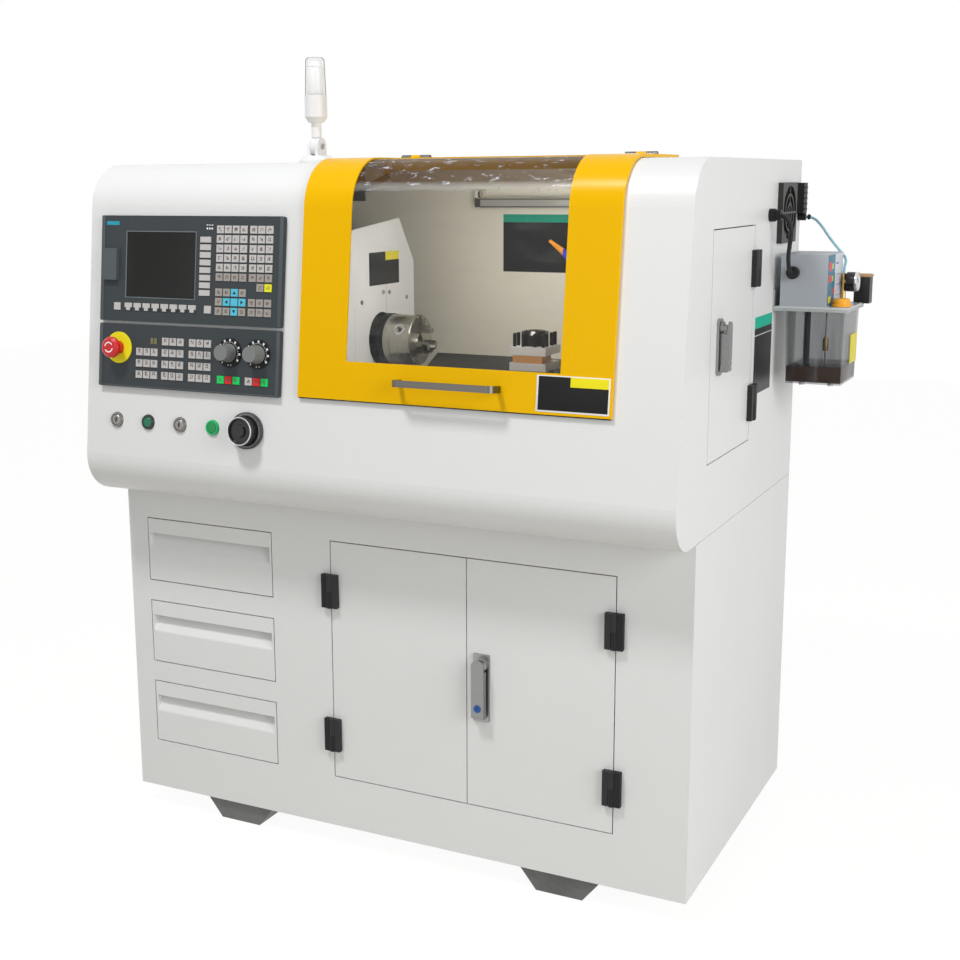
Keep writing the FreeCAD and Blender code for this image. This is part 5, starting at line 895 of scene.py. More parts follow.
CURSORS: dict[Spot, Spot] = {
    (304.7, 179.8): (0.0, 1.0),
    (287.3, 162.4): (-1.0, 0.0),
    (322.1, 162.4): (1.0, 0.0),
    (304.7, 145.0): (0.0, -1.0),
}
KEYS = Printed(
    "membrane_keys", (0.58, 0.56, 0.54), roughness=0.45, gloss=0.25, marks=(
        *(on_panel(59.5 + x, 146.5, 63.8 + x, 152.5, PANEL_PAINT)
          for x in (21.3 * i + side for i in range(8) for side in (0.0, 13.7))),
        on_panel(269, 206, 397, 223, KEY_BEIGE),
        on_panel(269, 144, 397, 205, KEY_BEIGE),
        key_patch(378.0, 190.2, (0.85, 0.80, 0.02)),
        *(key_patch(x, KEY_ROW, GREEN) for x in (279.4, 314.2, 376.4)),
        *(key_patch(x, KEY_ROW, RED) for x in (296.8, 359.0)),
        key_grid(269.9, 207.6, 4, 6), key_grid(343.2, 190.2, 3, 7),
        key_grid(269.9, 145.0, 4, 3), key_grid(343.2, 145.0, 3, 2),
        key_grid(90.5, KEY_ROW, 3, 3, ROW_PITCH), key_grid(151.0, KEY_ROW, 3, 4, ROW_PITCH),
        key_grid(213.5, KEY_ROW, 3, 4, ROW_PITCH),
        key_grid(279.4, KEY_ROW, 3, 1), key_grid(341.6, KEY_ROW, 3, 1),
        *(key_patch(x, y, CYAN) for x, y in (*CURSORS, (304.7, 162.4))),
        *(cursor_arrow(*key, direction) for key, direction in CURSORS.items()),
    ),
)
STOP_CENTRE = (PANEL_X + 48.5, PANEL_RISE + 75.0)
FEED_CENTRE = (PANEL_X + 304.8, PANEL_RISE + 76.5)
SPEED_CENTRE = (PANEL_X + 367.4, PANEL_RISE + 76.5)
WHEEL_CENTRE = (-222.0, SWITCH_ROW)
RESET_CENTRE = (-301.3, SWITCH_ROW)
DIALS = Printed(
    "printed_dials", (0.008, 0.008, 0.009), roughness=0.35, gloss=0.2, marks=(
        Arc(STOP_CENTRE, 0.0, 31.0, (0.88, 0.80, 0.02)),
        *(ring for centre in (FEED_CENTRE, SPEED_CENTRE) for ring in (
            Ticks(centre, 21.2, 25.4, DIAL_WHITE, -0.40, 0.36, 12, 0.30),
            Ticks(centre, 19.0, 20.8, DIAL_WHITE, -0.40, 0.36, 36, 0.26),
            Ticks(centre, 21.6, 24.4, DIAL_GREY, 0.44, ALL_ROUND, 24, 0.36),
            Ticks(centre, 21.6, 24.4, DIAL_GREY, -ALL_ROUND, -0.46, 24, 0.36),
        )),
        Ticks(WHEEL_CENTRE, 28.5, 32.5, (0.62, 0.63, 0.64), count=100, share=0.28),
    ),
)
STOP_RED = Printed(
    "stop_button_red", (0.62, 0.012, 0.015), roughness=0.25, grain=0.00002, marks=tuple(
        Arc(STOP_CENTRE, 7.9, 10.2, (0.9, 0.9, 0.9), start, end)
        for start, end in ((-0.22, 0.16), (0.28, ALL_ROUND), (-ALL_ROUND, -0.34))
    ),
)
DISPLAY = Printed(
    "display_panel_grey", PANEL_PAINT, roughness=0.5, grain=0.00012, gloss=0.35, marks=(
        on_panel(12, 308, 42, 315, (0.02, 0.32, 0.42)),
        on_panel(8.5, 203, 43.5, 264, (0.078, 0.092, 0.10)),
        *(Arc((PANEL_X + 247 + 5.6 * i, PANEL_RISE + 303), 0.0, 1.9, LED_WHITE) for i in range(3)),
        *(on_panel(245 + 5.6 * i, 308.5, 249 + 5.6 * i, 310, LED_WHITE) for i in range(3)),
    ),
)
CONTROL = Printed(
    "control_panel_grey", PANEL_PAINT, roughness=0.5, grain=0.00012, gloss=0.35,
    marks=tuple(on_panel(x, 85, x + 6, 96, (0.20, 0.18, 0.08)) for x in (123, 131)),
)


def hinge_zones(x: float) -> tuple[Zone, ...]:
    """The leaf of each front hinge that a cupboard door carries, beside its pin.

    Args:
        x: the middle of the leaves, across the cabinet.

    Returns:
        One zone for each leaf.
    """
    return tuple(
        Zone((x - 26, -350, z - 34), (x + 26, -330.15, z + 34), MATT_BLACK, 0.0, 0.4)
        for z in (238, 530)
    )


DOOR_LEFT = Zoned("left_door_coat", COAT, hinge_zones(-117), drift=0.03)
DOOR_RIGHT = Zoned(
    "right_door_coat", COAT, (
        *hinge_zones(460), Zone((186, -336, 319), (220, -330.15, 451), LATCH_METAL, 1.0, 0.3),
    ), drift=0.03,
)
DOOR_SIDE = Zoned(
    "access_door_coat", COAT, (
        *(Zone((600.15, -43, z), (615, 9, z + 68), MATT_BLACK, 0.0, 0.4) for z in (864, 1109)),
        Zone((600.15, -249, 973), (606, -221, 1073), LATCH_METAL, 1.0, 0.3),
    ), drift=0.03,
)
LINERS = Zoned(
    "inner_sheet_coat", (0.70, 0.65, 0.53), (
        Zone((-205, -400, 760), (-199, 290, 1240), (0.78, 0.77, 0.74)),
        Zone((-205, -79.4, 900), (-199, -78.6, 1048), (0.42, 0.41, 0.38)),
        Zone((-205, 53.4, 940), (-199, 54.6, 1150), (0.35, 0.34, 0.32)),
    ), roughness=0.4,
)
PLATES = Zoned(
    "printed_plates", (0.012, 0.012, 0.013), (
        Zone((-36, 280, 1212), (166, 292, 1230), (0.01, 0.30, 0.19)),
        Zone((-201, 51, 1139), (-190, 111, 1158), (0.80, 0.68, 0.02)),
        Zone((599, 5, 1030), (605, 129, 1052), (0.01, 0.48, 0.32)),
        Zone((599, 5, 1016), (605, 129, 1018), (0.6, 0.6, 0.6)),
    ), roughness=0.35, gloss=0.2,
)
PUMP_CASE = Zoned(
    "pump_case", (0.40, 0.425, 0.46), (
        Zone((590, 120, 1050), (760, 330, 1063.2), (0.62, 0.64, 0.66), 0.3, 0.3),
        Zone((702.4, 236, 1060), (716, 264, 1130), (0.60, 0.42, 0.16), 1.0, 0.28),
        Zone((714.6, 228, 1080), (740, 272, 1126), (0.012, 0.012, 0.013), 0.0, 0.2),
        Zone((719, 266.5, 1040), (760, 330, 1113), MATT_BLACK, 0.0, 0.4),
        Zone((719, 266.5, 1113), (760, 330, 1130), (0.42, 0.24, 0.10), 0.0, 0.45),
        Zone((620, 110, 1100), (660, 129.9, 1150), MATT_BLACK, 0.0, 0.4),
    ), roughness=0.36,
)
TURRET = Zoned(
    "turret_steel", (0.80, 0.78, 0.75), (
        Zone((100, -120, 984.3), (260, 60, 1040), (0.035, 0.033, 0.03), 0.9, 0.22),
        Zone((100, -120, 953.2), (260, 60, 967.8), (0.46, 0.22, 0.07), 0.3, 0.4),
    ), roughness=0.3, metallic=0.75, grain=0.00002, drift=0.2,
)
# The beacon lens's rim colour is a painted dark edge that stands in for refraction.
BEACON = Zoned(
    "beacon_plastic", (0.84, 0.84, 0.84), (
        Zone((-230, -290, 1461.2), (-130, -190, 1540), (0.80, 0.82, 0.83), 0.0, 0.05, 0.22),
    ), roughness=0.3, rim=(0.06, 0.05, 0.045),
)
HOSE = Zoned(
    "jointed_hose", (0.035, 0.05, 0.62),
    (Zone((60, 240, 1120), (118.6, 290, 1200), (0.93, 0.34, 0.02)),), roughness=0.28,
)
LAMP_BODY = Zoned(
    "lamp_body", (0.04, 0.038, 0.034), (
        Zone((-73, 226, 1263.6), (189, 290, 1290), (0.44, 0.38, 0.29)),
        Zone((-73, 226, 1240), (189, 290, 1245.4), (0.40, 0.38, 0.34)),
    ), roughness=0.35,
)
BEZELS = Zoned(
    "switch_bezel_metal", (0.24, 0.23, 0.22), (
        Zone((-318, -480, 830), (-284, -420, 880), (0.02, 0.50, 0.16), 0.0, 0.25),
        Zone((-468, -480, 830), (-434, -420, 880), (0.07, 0.075, 0.075), 1.0, 0.22),
    ), roughness=0.14, metallic=1.0, grain=0.00001, drift=0.15,
)
GUARD_PLATE = Printed(
    "bare_guard_plate", (0.008, 0.008, 0.008), roughness=0.35, grain=0.00001, gloss=0.2, marks=(
        Patch((350, 225), (355.5, 292), PLATE_WHITE), Patch((478.5, 225), (484, 292), PLATE_WHITE),
        Patch((350, 225), (484, 230), PLATE_WHITE), Patch((350, 286.2), (484, 292), PLATE_WHITE),
        Patch((412, 270), (478.5, 286.2), (0.82, 0.72, 0.01)),
    ),
)
PUMP_FILM = Printed(
    "pump_film", (0.03, 0.18, 0.26), roughness=0.35, grain=0.00001, plane=Plane.SIDE, marks=(
        Patch((192, 1060), (270, 1165), (0.66, 0.68, 0.74)),
        Patch((139, 1130), (160, 1146), RED), Patch((139, 1108), (160, 1122), RED),
        *(Patch((166, z), (178, z + 10), (0.55, 0.62, 0.05)) for z in (1110, 1133)),
        Patch((170, 1085), (184, 1097), RED), Patch((139, 1070), (163, 1082), (0.75, 0.60, 0.02)),
        Arrow((150, 1092), (0.0, 1.0)),
        Patch((200, 1140), (222, 1144), (0.10, 0.14, 0.45)),
        *(Patch((204, z), (250, z + 1.5), (0.25, 0.28, 0.4)) for z in (1080, 1100, 1120)),
    ),
)
TANK_PLATE = Printed("bare_tank_plate", (0.82, 0.70, 0.01), grain=0.00001, plane=Plane.SIDE)
RESET_GREEN = Printed(
    "reset_green_plastic", (0.01, 0.33, 0.075), roughness=0.22, grain=0.00001,
    marks=(Arc(RESET_CENTRE, 4.2, 5.2, RING_GREEN), Arc(RESET_CENTRE, 8.6, 10.4, RING_GREEN)),
)


# The studio


@dataclass
class Studio:
    """Camera, floor, sky and lamps."""

    eye: Point = (1.2628, -2.5840, 1.3039)
    yaw: float = 26.97
    pitch: float = 11.20
    roll: float = -0.42
    focal_px: float = 1420.87
    centre_px: Spot = (438.28, 461.08)
    picture_px: float = 960.0
    sensor: float = 36.0
    reach: float = 60.0
    sky_strength: float = 0.33
    floor_size: float = 14.0
    floor_glow: float = 1.1
    floor_share: float = 0.86

    def camera(self) -> None:
        """Set the camera where the photograph was taken from."""
        yaw, pitch, roll = (math.radians(a) for a in (self.yaw, self.pitch, self.roll))
        ahead = Vector(
            (-math.sin(yaw) * math.cos(pitch), math.cos(yaw) * math.cos(pitch), -math.sin(pitch))
        )
        right = Vector((math.cos(yaw), math.sin(yaw), 0))
        up = right.cross(ahead)
        turned = right * math.cos(roll) + up * math.sin(roll)
        upright = up * math.cos(roll) - right * math.sin(roll)
        bpy.ops.object.camera_add()
        camera = bpy.context.object
        axes = Matrix((turned, upright, -ahead)).transposed()
        camera.matrix_world = Matrix.Translation(self.eye) @ axes.to_4x4()
        middle = self.picture_px / 2
        camera.data.sensor_width = self.sensor
        camera.data.lens = self.sensor * self.focal_px / self.picture_px
        camera.data.shift_x = (middle - self.centre_px[0]) / self.picture_px
        camera.data.shift_y = (self.centre_px[1] - middle) / self.picture_px
        camera.data.clip_end = self.reach
        bpy.context.scene.camera = camera
        bpy.context.scene.view_settings.view_transform = "Standard"

    def sky(self) -> None:
        """A soft pale sky that the camera, metal and glass see as white."""
        world = bpy.data.worlds.new("studio")
        bpy.context.scene.world = world
        graph = Graph(world, "ShaderNodeOutputWorld")
        pale = {"Color": (0.93, 0.96, 1.0, 1), "Strength": self.sky_strength}
        soft = graph.node("ShaderNodeBackground", {}, pale)
        white = graph.node("ShaderNodeBackground", {}, {"Color": (1, 1, 1, 1)})
        graph.close(graph.node("ShaderNodeMixShader", {}, (graph.seen(), soft, white)))

    def lamp(self, name: str, place: Point, aim: Point, size: float, power: float) -> None:
        """Add one soft area lamp.

        Args:
            name: its name.
            place: where it hangs.
            aim: what it points at.
            size: the side of its square.
            power: in watts.
        """
        bpy.ops.object.light_add(type="AREA", location=place)
        light = bpy.context.object
        light.name = name
        light.data.size = size
        light.data.energy = power
        light.rotation_euler = (Vector(aim) - Vector(place)).to_track_quat("-Z", "Y").to_euler()
        light.visible_camera = False

    def lamps(self) -> None:
        """A high key, a fill on the right wall, a weak front lamp and one in the hood."""
        self.lamp("key", (-0.6, -1.95, 3.9), (0, -0.3, 0.7), 0.5, 66)
        self.lamp("fill", (3.6, -1.6, 1.9), (0.2, 0, 0.7), 2.2, 78)
        self.lamp("front", (-0.4, -4.2, 1.5), (0.0, 0.0, 0.6), 2.6, 12)
        self.lamp("inner", (0.16, -0.16, 1.24), (0.06, 0.16, 0.98), 0.12, 1.6)

    def floor(self) -> None:
        """A wide pale floor that keeps the object's shadow."""
        bpy.ops.mesh.primitive_plane_add(size=self.floor_size, location=(0, 0, 0))
        plane = bpy.context.object
        plane.name = "studio_floor"
        graph = Graph(bpy.data.materials.new("studio_floor"))
        tone = graph.blend(graph.noise(3.0, 2.0), (0.58, 0.56, 0.51), (0.56, 0.54, 0.49))
        matt = graph.principled(Base_Color=tone, Roughness=0.7)
        lit = {"Color": (1, 1, 1, 1), "Strength": self.floor_glow}
        glow = graph.node("ShaderNodeEmission", {}, lit)
        share = graph.seen() * self.floor_share
        mixed = graph.node("ShaderNodeMixShader", {}, (share, matt, glow))
        plane.data.materials.append(graph.close(mixed))

    def build(self) -> None:
        """Set up everything that isn't the machine."""
        self.camera()
        self.sky()
        self.lamps()
        self.floor()


# Modelling


AXES = {
    Plane.FRONT: (
        (1, 0, 0), (0, math.sin(TILT), -math.cos(TILT)), (0, math.cos(TILT), math.sin(TILT))
    ),
    Plane.FACE: ((1, 0, 0), (0, 0, -1), (0, 1, 0)),
    Plane.SIDE: ((0, 0, 1), (1, 0, 0), (0, 1, 0)),
    Plane.LEVEL: ((1, 0, 0), (0, 1, 0), (0, 0, 1)),
}


def seat(plane: Plane, across: float = 0.0, up: float = 0.0, out: float = 0.0) -> Matrix:
    """The place of a piece that is modelled in millimetres with Z out of its surface.

    Args:
        plane: the surface.
        across: along the surface, in millimetres.
        up: the other way along it.
        out: off it.

    Returns:
        The matrix from the piece's millimetres to the frame's metres.
    """
    axes = Matrix(AXES[plane])
    start = Vector((0, FRONT_Y, HOOD_LOW)) if plane is Plane.FRONT else Vector()
    place = start + axes @ Vector((across, up, out)) * MM
    return Matrix.Translation(place) @ axes.to_4x4() @ Matrix.Scale(MM, 4)


class Piece:
    """One visual piece: shaped in millimetres, copied to its places, joined and hung."""

    tube_sides = 64
    top_normal = 0.9
    sharp_angle = math.radians(40)
    smooth_angle = math.radians(35)

    def __init__(self, name: str, finish: Finish, slot: str, body: str = MACHINE) -> None:
        """Name a piece.

        Args:
            name: its name.
            finish: what its surface is.
            slot: a material's name, not used.
            body: what it rides on.
        """
        self.name, self.finish, self.slot, self.body = name, finish, slot, body
        self.shape: bpy.types.Object | None = None
        self.parts: list[bpy.types.Object] = []

    def _alone(self, shape: bpy.types.Object) -> None:
        """Select one object and make it active.

        Args:
            shape: the object.
        """
        bpy.ops.object.select_all(action="DESELECT")
        shape.select_set(True)
        bpy.context.view_layer.objects.active = shape

    def block(self, low: Point, high: Point) -> "Piece":
        """Start from a box.

        Args:
            low: its lowest corner.
            high: its highest corner.

        Returns:
            The piece.
        """
        bpy.ops.mesh.primitive_cube_add(size=1)
        self.shape = bpy.context.object
        self._alone(self.shape)
        bpy.ops.object.mode_set(mode="EDIT")
        bpy.ops.mesh.select_all(action="SELECT")
        bpy.ops.transform.resize(value=tuple(h - l for l, h in zip(low, high)))
        bpy.ops.transform.translate(value=tuple((h + l) / 2 for l, h in zip(low, high)))
        bpy.ops.object.mode_set(mode="OBJECT")
        return self

    def drum(
        self, radius: float, low: float, high: float, sides: int = 48, ends: str = "NGON"
    ) -> "Piece":
        """Start from a drum about the seat's Z.

        Args:
            radius: its radius.
            low: where it starts.
            high: where it ends.
            sides: how many flats it has round it.
            ends: how its ends are filled.

        Returns:
            The piece.
        """
        bpy.ops.mesh.primitive_cylinder_add(
            vertices=sides, radius=radius, depth=high - low, end_fill_type=ends,
            location=(0, 0, (low + high) / 2),
        )
        self.shape = bpy.context.object
        self._alone(self.shape)
        bpy.ops.object.transform_apply(location=True)
        return self

    def tube(self, outer: float, inner: float, low: float, high: float) -> "Piece":
        """Start from an open tube about the seat's Z, its wall made inward.

        Args:
            outer: its outer radius.
            inner: its inner radius.
            low: where it starts.
            high: where it ends.

        Returns:
            The piece.
        """
        self.drum(outer, low, high, self.tube_sides, "NOTHING")
        wall = self.shape.modifiers.new("wall", "SOLIDIFY")
        wall.thickness = outer - inner
        wall.offset = -1
        wall.use_even_offset = True
        bpy.ops.object.modifier_apply(modifier="wall")
        return self

    def sink(self, border: float, depth: float) -> "Piece":
        """Inset the faces that look out of the seat and push them along Z.

        Args:
            border: how wide the rim stays.
            depth: how far the inner face moves, negative for a recess.

        Returns:
            The piece.
        """
        bpy.ops.object.mode_set(mode="EDIT")
        bpy.ops.mesh.select_mode(type="FACE")
        bpy.ops.mesh.select_all(action="DESELECT")
        mesh = bmesh.from_edit_mesh(self.shape.data)
        for face in mesh.faces:
            face.select_set(face.normal.z > self.top_normal)
        bmesh.update_edit_mesh(self.shape.data)
        bpy.ops.mesh.inset(thickness=border)
        bpy.ops.mesh.extrude_region_move(TRANSFORM_OT_translate={"value": (0, 0, depth)})
        bpy.ops.object.mode_set(mode="OBJECT")
        return self

    def soften(self, width: float, segments: int = 2) -> "Piece":
        """Round the sharp edges and smooth the shading.

        Args:
            width: how wide the round is.
            segments: how many flats it has.

        Returns:
            The piece.
        """
        self._alone(self.shape)
        edge = self.shape.modifiers.new("edge", "BEVEL")
        edge.width = width
        edge.segments = segments
        edge.limit_method = "ANGLE"
        edge.angle_limit = self.sharp_angle
        bpy.ops.object.modifier_apply(modifier="edge")
        bpy.ops.object.shade_smooth_by_angle(angle=self.smooth_angle)
        return self

    def wrap(self, radius: float) -> "Piece":
        """Lay the shape on a round whose axis runs along the seat's X.

        Args:
            radius: the round's radius.

        Returns:
            The piece.
        """
        for point in self.shape.data.vertices:
            point.co.z += math.sqrt(radius**2 - point.co.y**2) - radius
        return self

    def at(self, *places: Matrix) -> "Piece":
        """Put the shape, each time with its own mesh, at every place.

        Args:
            places: the places.

        Returns:
            The piece.
        """
        for place in places:
            self._alone(self.shape)
            bpy.ops.object.duplicate()
            part = bpy.context.object
            part.matrix_world = place
            bpy.ops.object.transform_apply(location=True, rotation=True, scale=True)
            self.parts.append(part)
        self._alone(self.shape)
        bpy.ops.object.delete()
        return self

    def done(self) -> bpy.types.Object:
        """Join the parts, dress them and hang them on their body.

        Returns:
            The finished object.
        """
        self._alone(self.parts[0])
        for part in self.parts:
            part.select_set(True)
        if len(self.parts) > 1:
            bpy.ops.object.join()
        piece = bpy.context.object
        piece.name = piece.data.name = self.name
        piece.data.materials.clear()
        piece.data.materials.append(self.finish.material())
        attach(piece, self.body)
        LOG.info("%s rides on %s", self.name, self.body)
        return piece


# The machine's cords, trims and solids


@dataclass
class Cord:
    """A free cord or tube along the same route points as its solid."""

    name: str
    node: str
    finish: Finish
    slot: str
    route: tuple[Point, ...]
    length: float
    diameter: float
    stiffness: str
    sleeve: Piece

    def build(self) -> None:
        """Lay the spline, add its sleeve and hide the solid that it stands in for."""
        curve = bpy.data.curves.new(self.name, "CURVE")
        curve.dimensions = "3D"
        curve.resolution_u = 16
        curve.bevel_depth = self.diameter / 2
        curve.bevel_resolution = 6
        curve.use_fill_caps = True
        spline = curve.splines.new("NURBS")
        spline.points.add(len(self.route) - 1)
        for point, place in zip(spline.points, self.route):
            point.co = (*place, 1)
        spline.order_u = 3
        spline.use_endpoint_u = True
        cord = bpy.data.objects.new(self.name, curve)
        bpy.context.collection.objects.link(cord)
        curve.materials.append(self.finish.material())
        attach(cord, MACHINE)
        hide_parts(self.node)
        self.sleeve.done()
        LOG.info("%s replaces %s", self.name, self.node)


@dataclass
class Cords:
    """The pump's cable and the oil tube."""

    cable_route: tuple[Point, ...] = (
        (0.609, 0.085, 1.235), (0.626, 0.085, 1.235), (0.638, 0.087, 1.222),
        (0.641, 0.089, 1.202), (0.638, 0.091, 1.182), (0.6355, 0.092, 1.161),
        (0.6355, 0.097, 1.142), (0.638, 0.104, 1.127), (0.638, 0.119, 1.127),
    )
    cable_length: float = 0.1449
    cable_thickness: float = 0.008
    tube_route: tuple[Point, ...] = (
        (0.616, 0.312, 1.226), (0.630, 0.312, 1.226), (0.648, 0.303, 1.212),
        (0.669, 0.290, 1.186), (0.694, 0.281, 1.160), (0.709, 0.267, 1.146),
        (0.708, 0.250, 1.132), (0.708, 0.250, 1.120),
    )
    tube_length: float = 0.1679
    tube_thickness: float = 0.0052

    def relief(self, name: str, radius: float, reach: float, place: Matrix) -> Piece:
        """A ribbed sleeve that narrows along the cord.

        Args:
            name: its name.
            radius: at its foot.
            reach: its length.
            place: its seat.

        Returns:
            The sleeve, not yet joined.
        """
        sleeve = Piece(name, RUBBER, "cable_rubber").drum(radius, 0, reach * 0.4, 32)
        for border in (0.12, 0.08, 0.08):
            sleeve.sink(radius * border, reach * 0.2)
        return sleeve.soften(0.3).at(place)

    def build(self) -> None:
        """Lay both."""
        Cord(
            "pump_cable_run", "pump_cable", RUBBER, "cable_rubber", self.cable_route,
            self.cable_length, self.cable_thickness, "medium",
            self.relief("cable_relief", 6.8, 8.0, seat(Plane.SIDE, 85, 1235, 613.5)),
        ).build()
        Cord(
            "oil_tube_run", "oil_tube", TUBE, "tube_plastic", self.tube_route,
            self.tube_length, self.tube_thickness, "stiff",
            self.relief("tube_collar", 5.2, 6.0, seat(Plane.SIDE, 312, 1226, 620)),
        ).build()


@dataclass
class OperatorPanels:
    """Rails, screen and switch trims on the leaning front."""

    width: float = 415.0
    control_span: Spot = (219.0, 338.0)
    display_span: Spot = (345.0, 543.0)
    rail: float = 8.0
    rail_inset: float = 0.6
    lip_inset: float = 9.0
    screen: tuple[float, float, float, float] = (59.0, 224.0, 170.0, 298.0)
    knob_top: float = 36.0
    power_x: float = -526.3
    mode_x: float = -376.3
    switch_out: float = 5.0

    def rails(self) -> None:
        """Raised edges at both sides of both panels, and a lip under the lower one."""
        columns = (self.rail_inset, self.width - self.rail_inset - self.rail)
        for name, (low, high) in (("control", self.control_span), ("display", self.display_span)):
            rail = Piece(f"{name}_panel_rails", RAIL_GREY, "panel_grey")
            rail.block((0, 0, -0.5), (self.rail, high - low, 1.0)).soften(0.4)
            rail.at(*(seat(Plane.FRONT, PANEL_X + x, low, PANEL_FACE) for x in columns)).done()
        lip = Piece("control_panel_lip", RAIL_GREY, "panel_grey")
        lip.block((0, 0, -0.5), (self.width - 2 * self.lip_inset, 2.4, 0.7)).soften(0.3)
        place = seat(Plane.FRONT, PANEL_X + self.lip_inset, self.control_span[0], PANEL_FACE)
        lip.at(place).done()

    def display(self) -> None:
        """A grey frame in the screen's recess with the glass set into it."""
        left, right, low, high = self.screen
        place = seat(Plane.FRONT, PANEL_X + left, PANEL_RISE + low, PANEL_FACE)
        wide, tall = right - left, high - low
        surround = Piece("screen_frame", BEZEL_GREY, "key_plastic")
        surround.block((0.4, 0.4, -2.9), (wide - 0.4, tall - 0.4, 0.6)).sink(2.2, -2.2)
        surround.soften(0.5).at(place).done()
        glass = Piece("screen_glass", SCREEN_BLACK, "black_plastic")
        glass.block((2.8, 2.8, -1.8), (wide - 2.8, tall - 2.8, -0.9)).sink(2.5, -0.2)
        glass.soften(0.3).at(place).done()

    def knob_lines(self) -> None:
        """A white line on top of each override knob."""
        for knob, centre, lean in (("feed", FEED_CENTRE, 0.5), ("speed", SPEED_CENTRE, 0.2)):
            line = Piece(f"{knob}_knob_line", TICK, "key_plastic", f"{knob}_override")
            line.block((-0.9, 3.0, -0.3), (0.9, 12.5, 0.25)).soften(0.15)
            place = seat(Plane.FRONT, *centre, self.knob_top) @ Matrix.Rotation(lean, 4, "Z")
            line.at(place).done()

    def wheel_rings(self) -> None:
        """A dark ring round the handwheel's dial and a bright rim on the wheel."""
        place = seat(Plane.FRONT, *WHEEL_CENTRE)
        ring = Piece("wheel_dial_ring", DARK_STEEL, "chrome").tube(34.3, 33.3, 0.3, 8.4)
        ring.soften(0.3).at(place).done()
        rim = Piece("wheel_rim_ring", CHROME, "chrome", "pulse_wheel").tube(26.2, 24.4, 27.6, 30.1)
        rim.soften(0.5).at(place).done()

    def key_slots(self) -> None:
        """The key slot in each key switch."""
        for key, x in (("power", self.power_x), ("mode", self.mode_x)):
            plug = Piece(f"{key}_key_slot", BLACK, "black_plastic", f"{key}_key")
            plug.block((-1.1, -5.0, -0.4), (1.1, 5.0, 0.25)).sink(0.4, -0.2).soften(0.12)
            plug.at(seat(Plane.FRONT, x, SWITCH_ROW, self.switch_out)).done()

    def build(self) -> None:
        """All of them."""
        self.rails()
        self.display()
        self.knob_lines()
        self.wheel_rings()
        self.key_slots()


@dataclass
class GuardTrim:
    """The rubber seal and the bare plate of the lifting guard."""

    seal_length: float = 596.0
    seal_place: Point = (-112.0, 220.6, 0.0)
    plate_size: Spot = (129.0, 61.0)
    plate_place: Point = (352.0, 227.0, 7.0)

    def build(self) -> None:
        """Both ride on the guard."""
        seal = Piece("guard_seal", RUBBER, "black_plastic", "guard")
        seal.block((0, 0, 0.8), (self.seal_length, 2.6, 5.6)).soften(0.6)
        seal.at(seat(Plane.FRONT, *self.seal_place)).done()
        plate = Piece("guard_plate", GUARD_PLATE, "label_film", "guard")
        plate.block((0, 0, -0.4), (*self.plate_size, 0.5)).soften(0.2)
        plate.at(seat(Plane.FRONT, *self.plate_place)).done()


@dataclass
class LatchLocks:
    """The round locks of both swing handles."""

    radius: float = 7.2
    front_place: Point = (203.0, 350.0, 351.5)
    side_place: Point = (-235.0, 996.0, 621.5)

    def lock(self, name: str, finish: Finish, body: str, place: Matrix) -> None:
        """A round cylinder with a rim and a slot.

        Args:
            name: its name.
            finish: what the cylinder is made of.
            body: the lever that it rides on.
            place: its seat.
        """
        barrel = Piece(name, finish, "chrome", body).drum(self.radius, -2.0, 1.4, 32)
        barrel.sink(1.3, -0.5).soften(0.25).at(place).done()
        slot = Piece(f"{name}_slot", BLACK, "black_plastic", body)
        slot.block((-0.8, -3.4, 0.6), (0.8, 3.4, 1.05)).soften(0.1).at(place).done()

    def build(self) -> None:
        """One on each lever."""
        self.lock("front_lock", LOCK_BLUE, "door_grip", seat(Plane.FACE, *self.front_place))
        self.lock("side_lock", NICKEL, "access_grip", seat(Plane.SIDE, *self.side_place))


@dataclass
class MachiningSpace:
    """Cover screws, lamp glasses and the chuck's key sockets, seen through the window."""

    screws: tuple[Spot, ...] = ((-51, 1058), (41, 1073), (67, 1071), (144, 1055))
    wall: float = -200.0
    lamp_front: float = -232.0
    chuck_radius: float = 52.5
    chuck_middle: float = -0.1338
    socket_turns: Point = (60, 180, 300)

    def build(self) -> None:
        """All small metal and the diffuser."""
        screw = Piece("cover_screws", NICKEL, "sheet_steel").drum(4.4, -0.3, 2.0, 24)
        screw.sink(1.1, -0.7).soften(0.4)
        screw.at(*(seat(Plane.SIDE, y, z, self.wall) for y, z in self.screws)).done()
        glass = Piece("lamp_glass", LAMP_GLASS, "clear_plastic", "lamp")
        glass.block((-66, 234.5, 1243.6), (182, 273.5, 1246.0)).soften(0.6)
        glass.at(seat(Plane.LEVEL)).done()
        cover = Piece("lamp_front_glass", LAMP_GLASS, "clear_plastic", "lamp")
        cover.block((-64, 1247.5, -0.4), (180, 1261, 0.5)).soften(0.3)
        cover.at(seat(Plane.FACE, 0, 0, self.lamp_front)).done()
        self.chuck_sockets()

    def chuck_sockets(self) -> None:
        """The collar and the pinion of each key socket on the chuck."""
        axis = Matrix.Translation((self.chuck_middle, *SPINDLE_AXIS))
        rim = Matrix.Translation((0, 0, self.chuck_radius * MM)) @ Matrix.Scale(MM, 4)
        places = [
            axis @ Matrix.Rotation(math.radians(turn), 4, "X") @ rim for turn in self.socket_turns
        ]
        collar = Piece("chuck_collars", CHROME, "ground_steel", "work_spindle")
        collar.tube(11.6, 8.1, -2.0, 0.25).wrap(self.chuck_radius).soften(0.25).at(*places).done()
        pinion = Piece("chuck_pinions", CHROME, "ground_steel", "work_spindle")
        pinion.tube(7.1, 5.7, -4.2, -1.0).soften(0.3).at(*places).done()


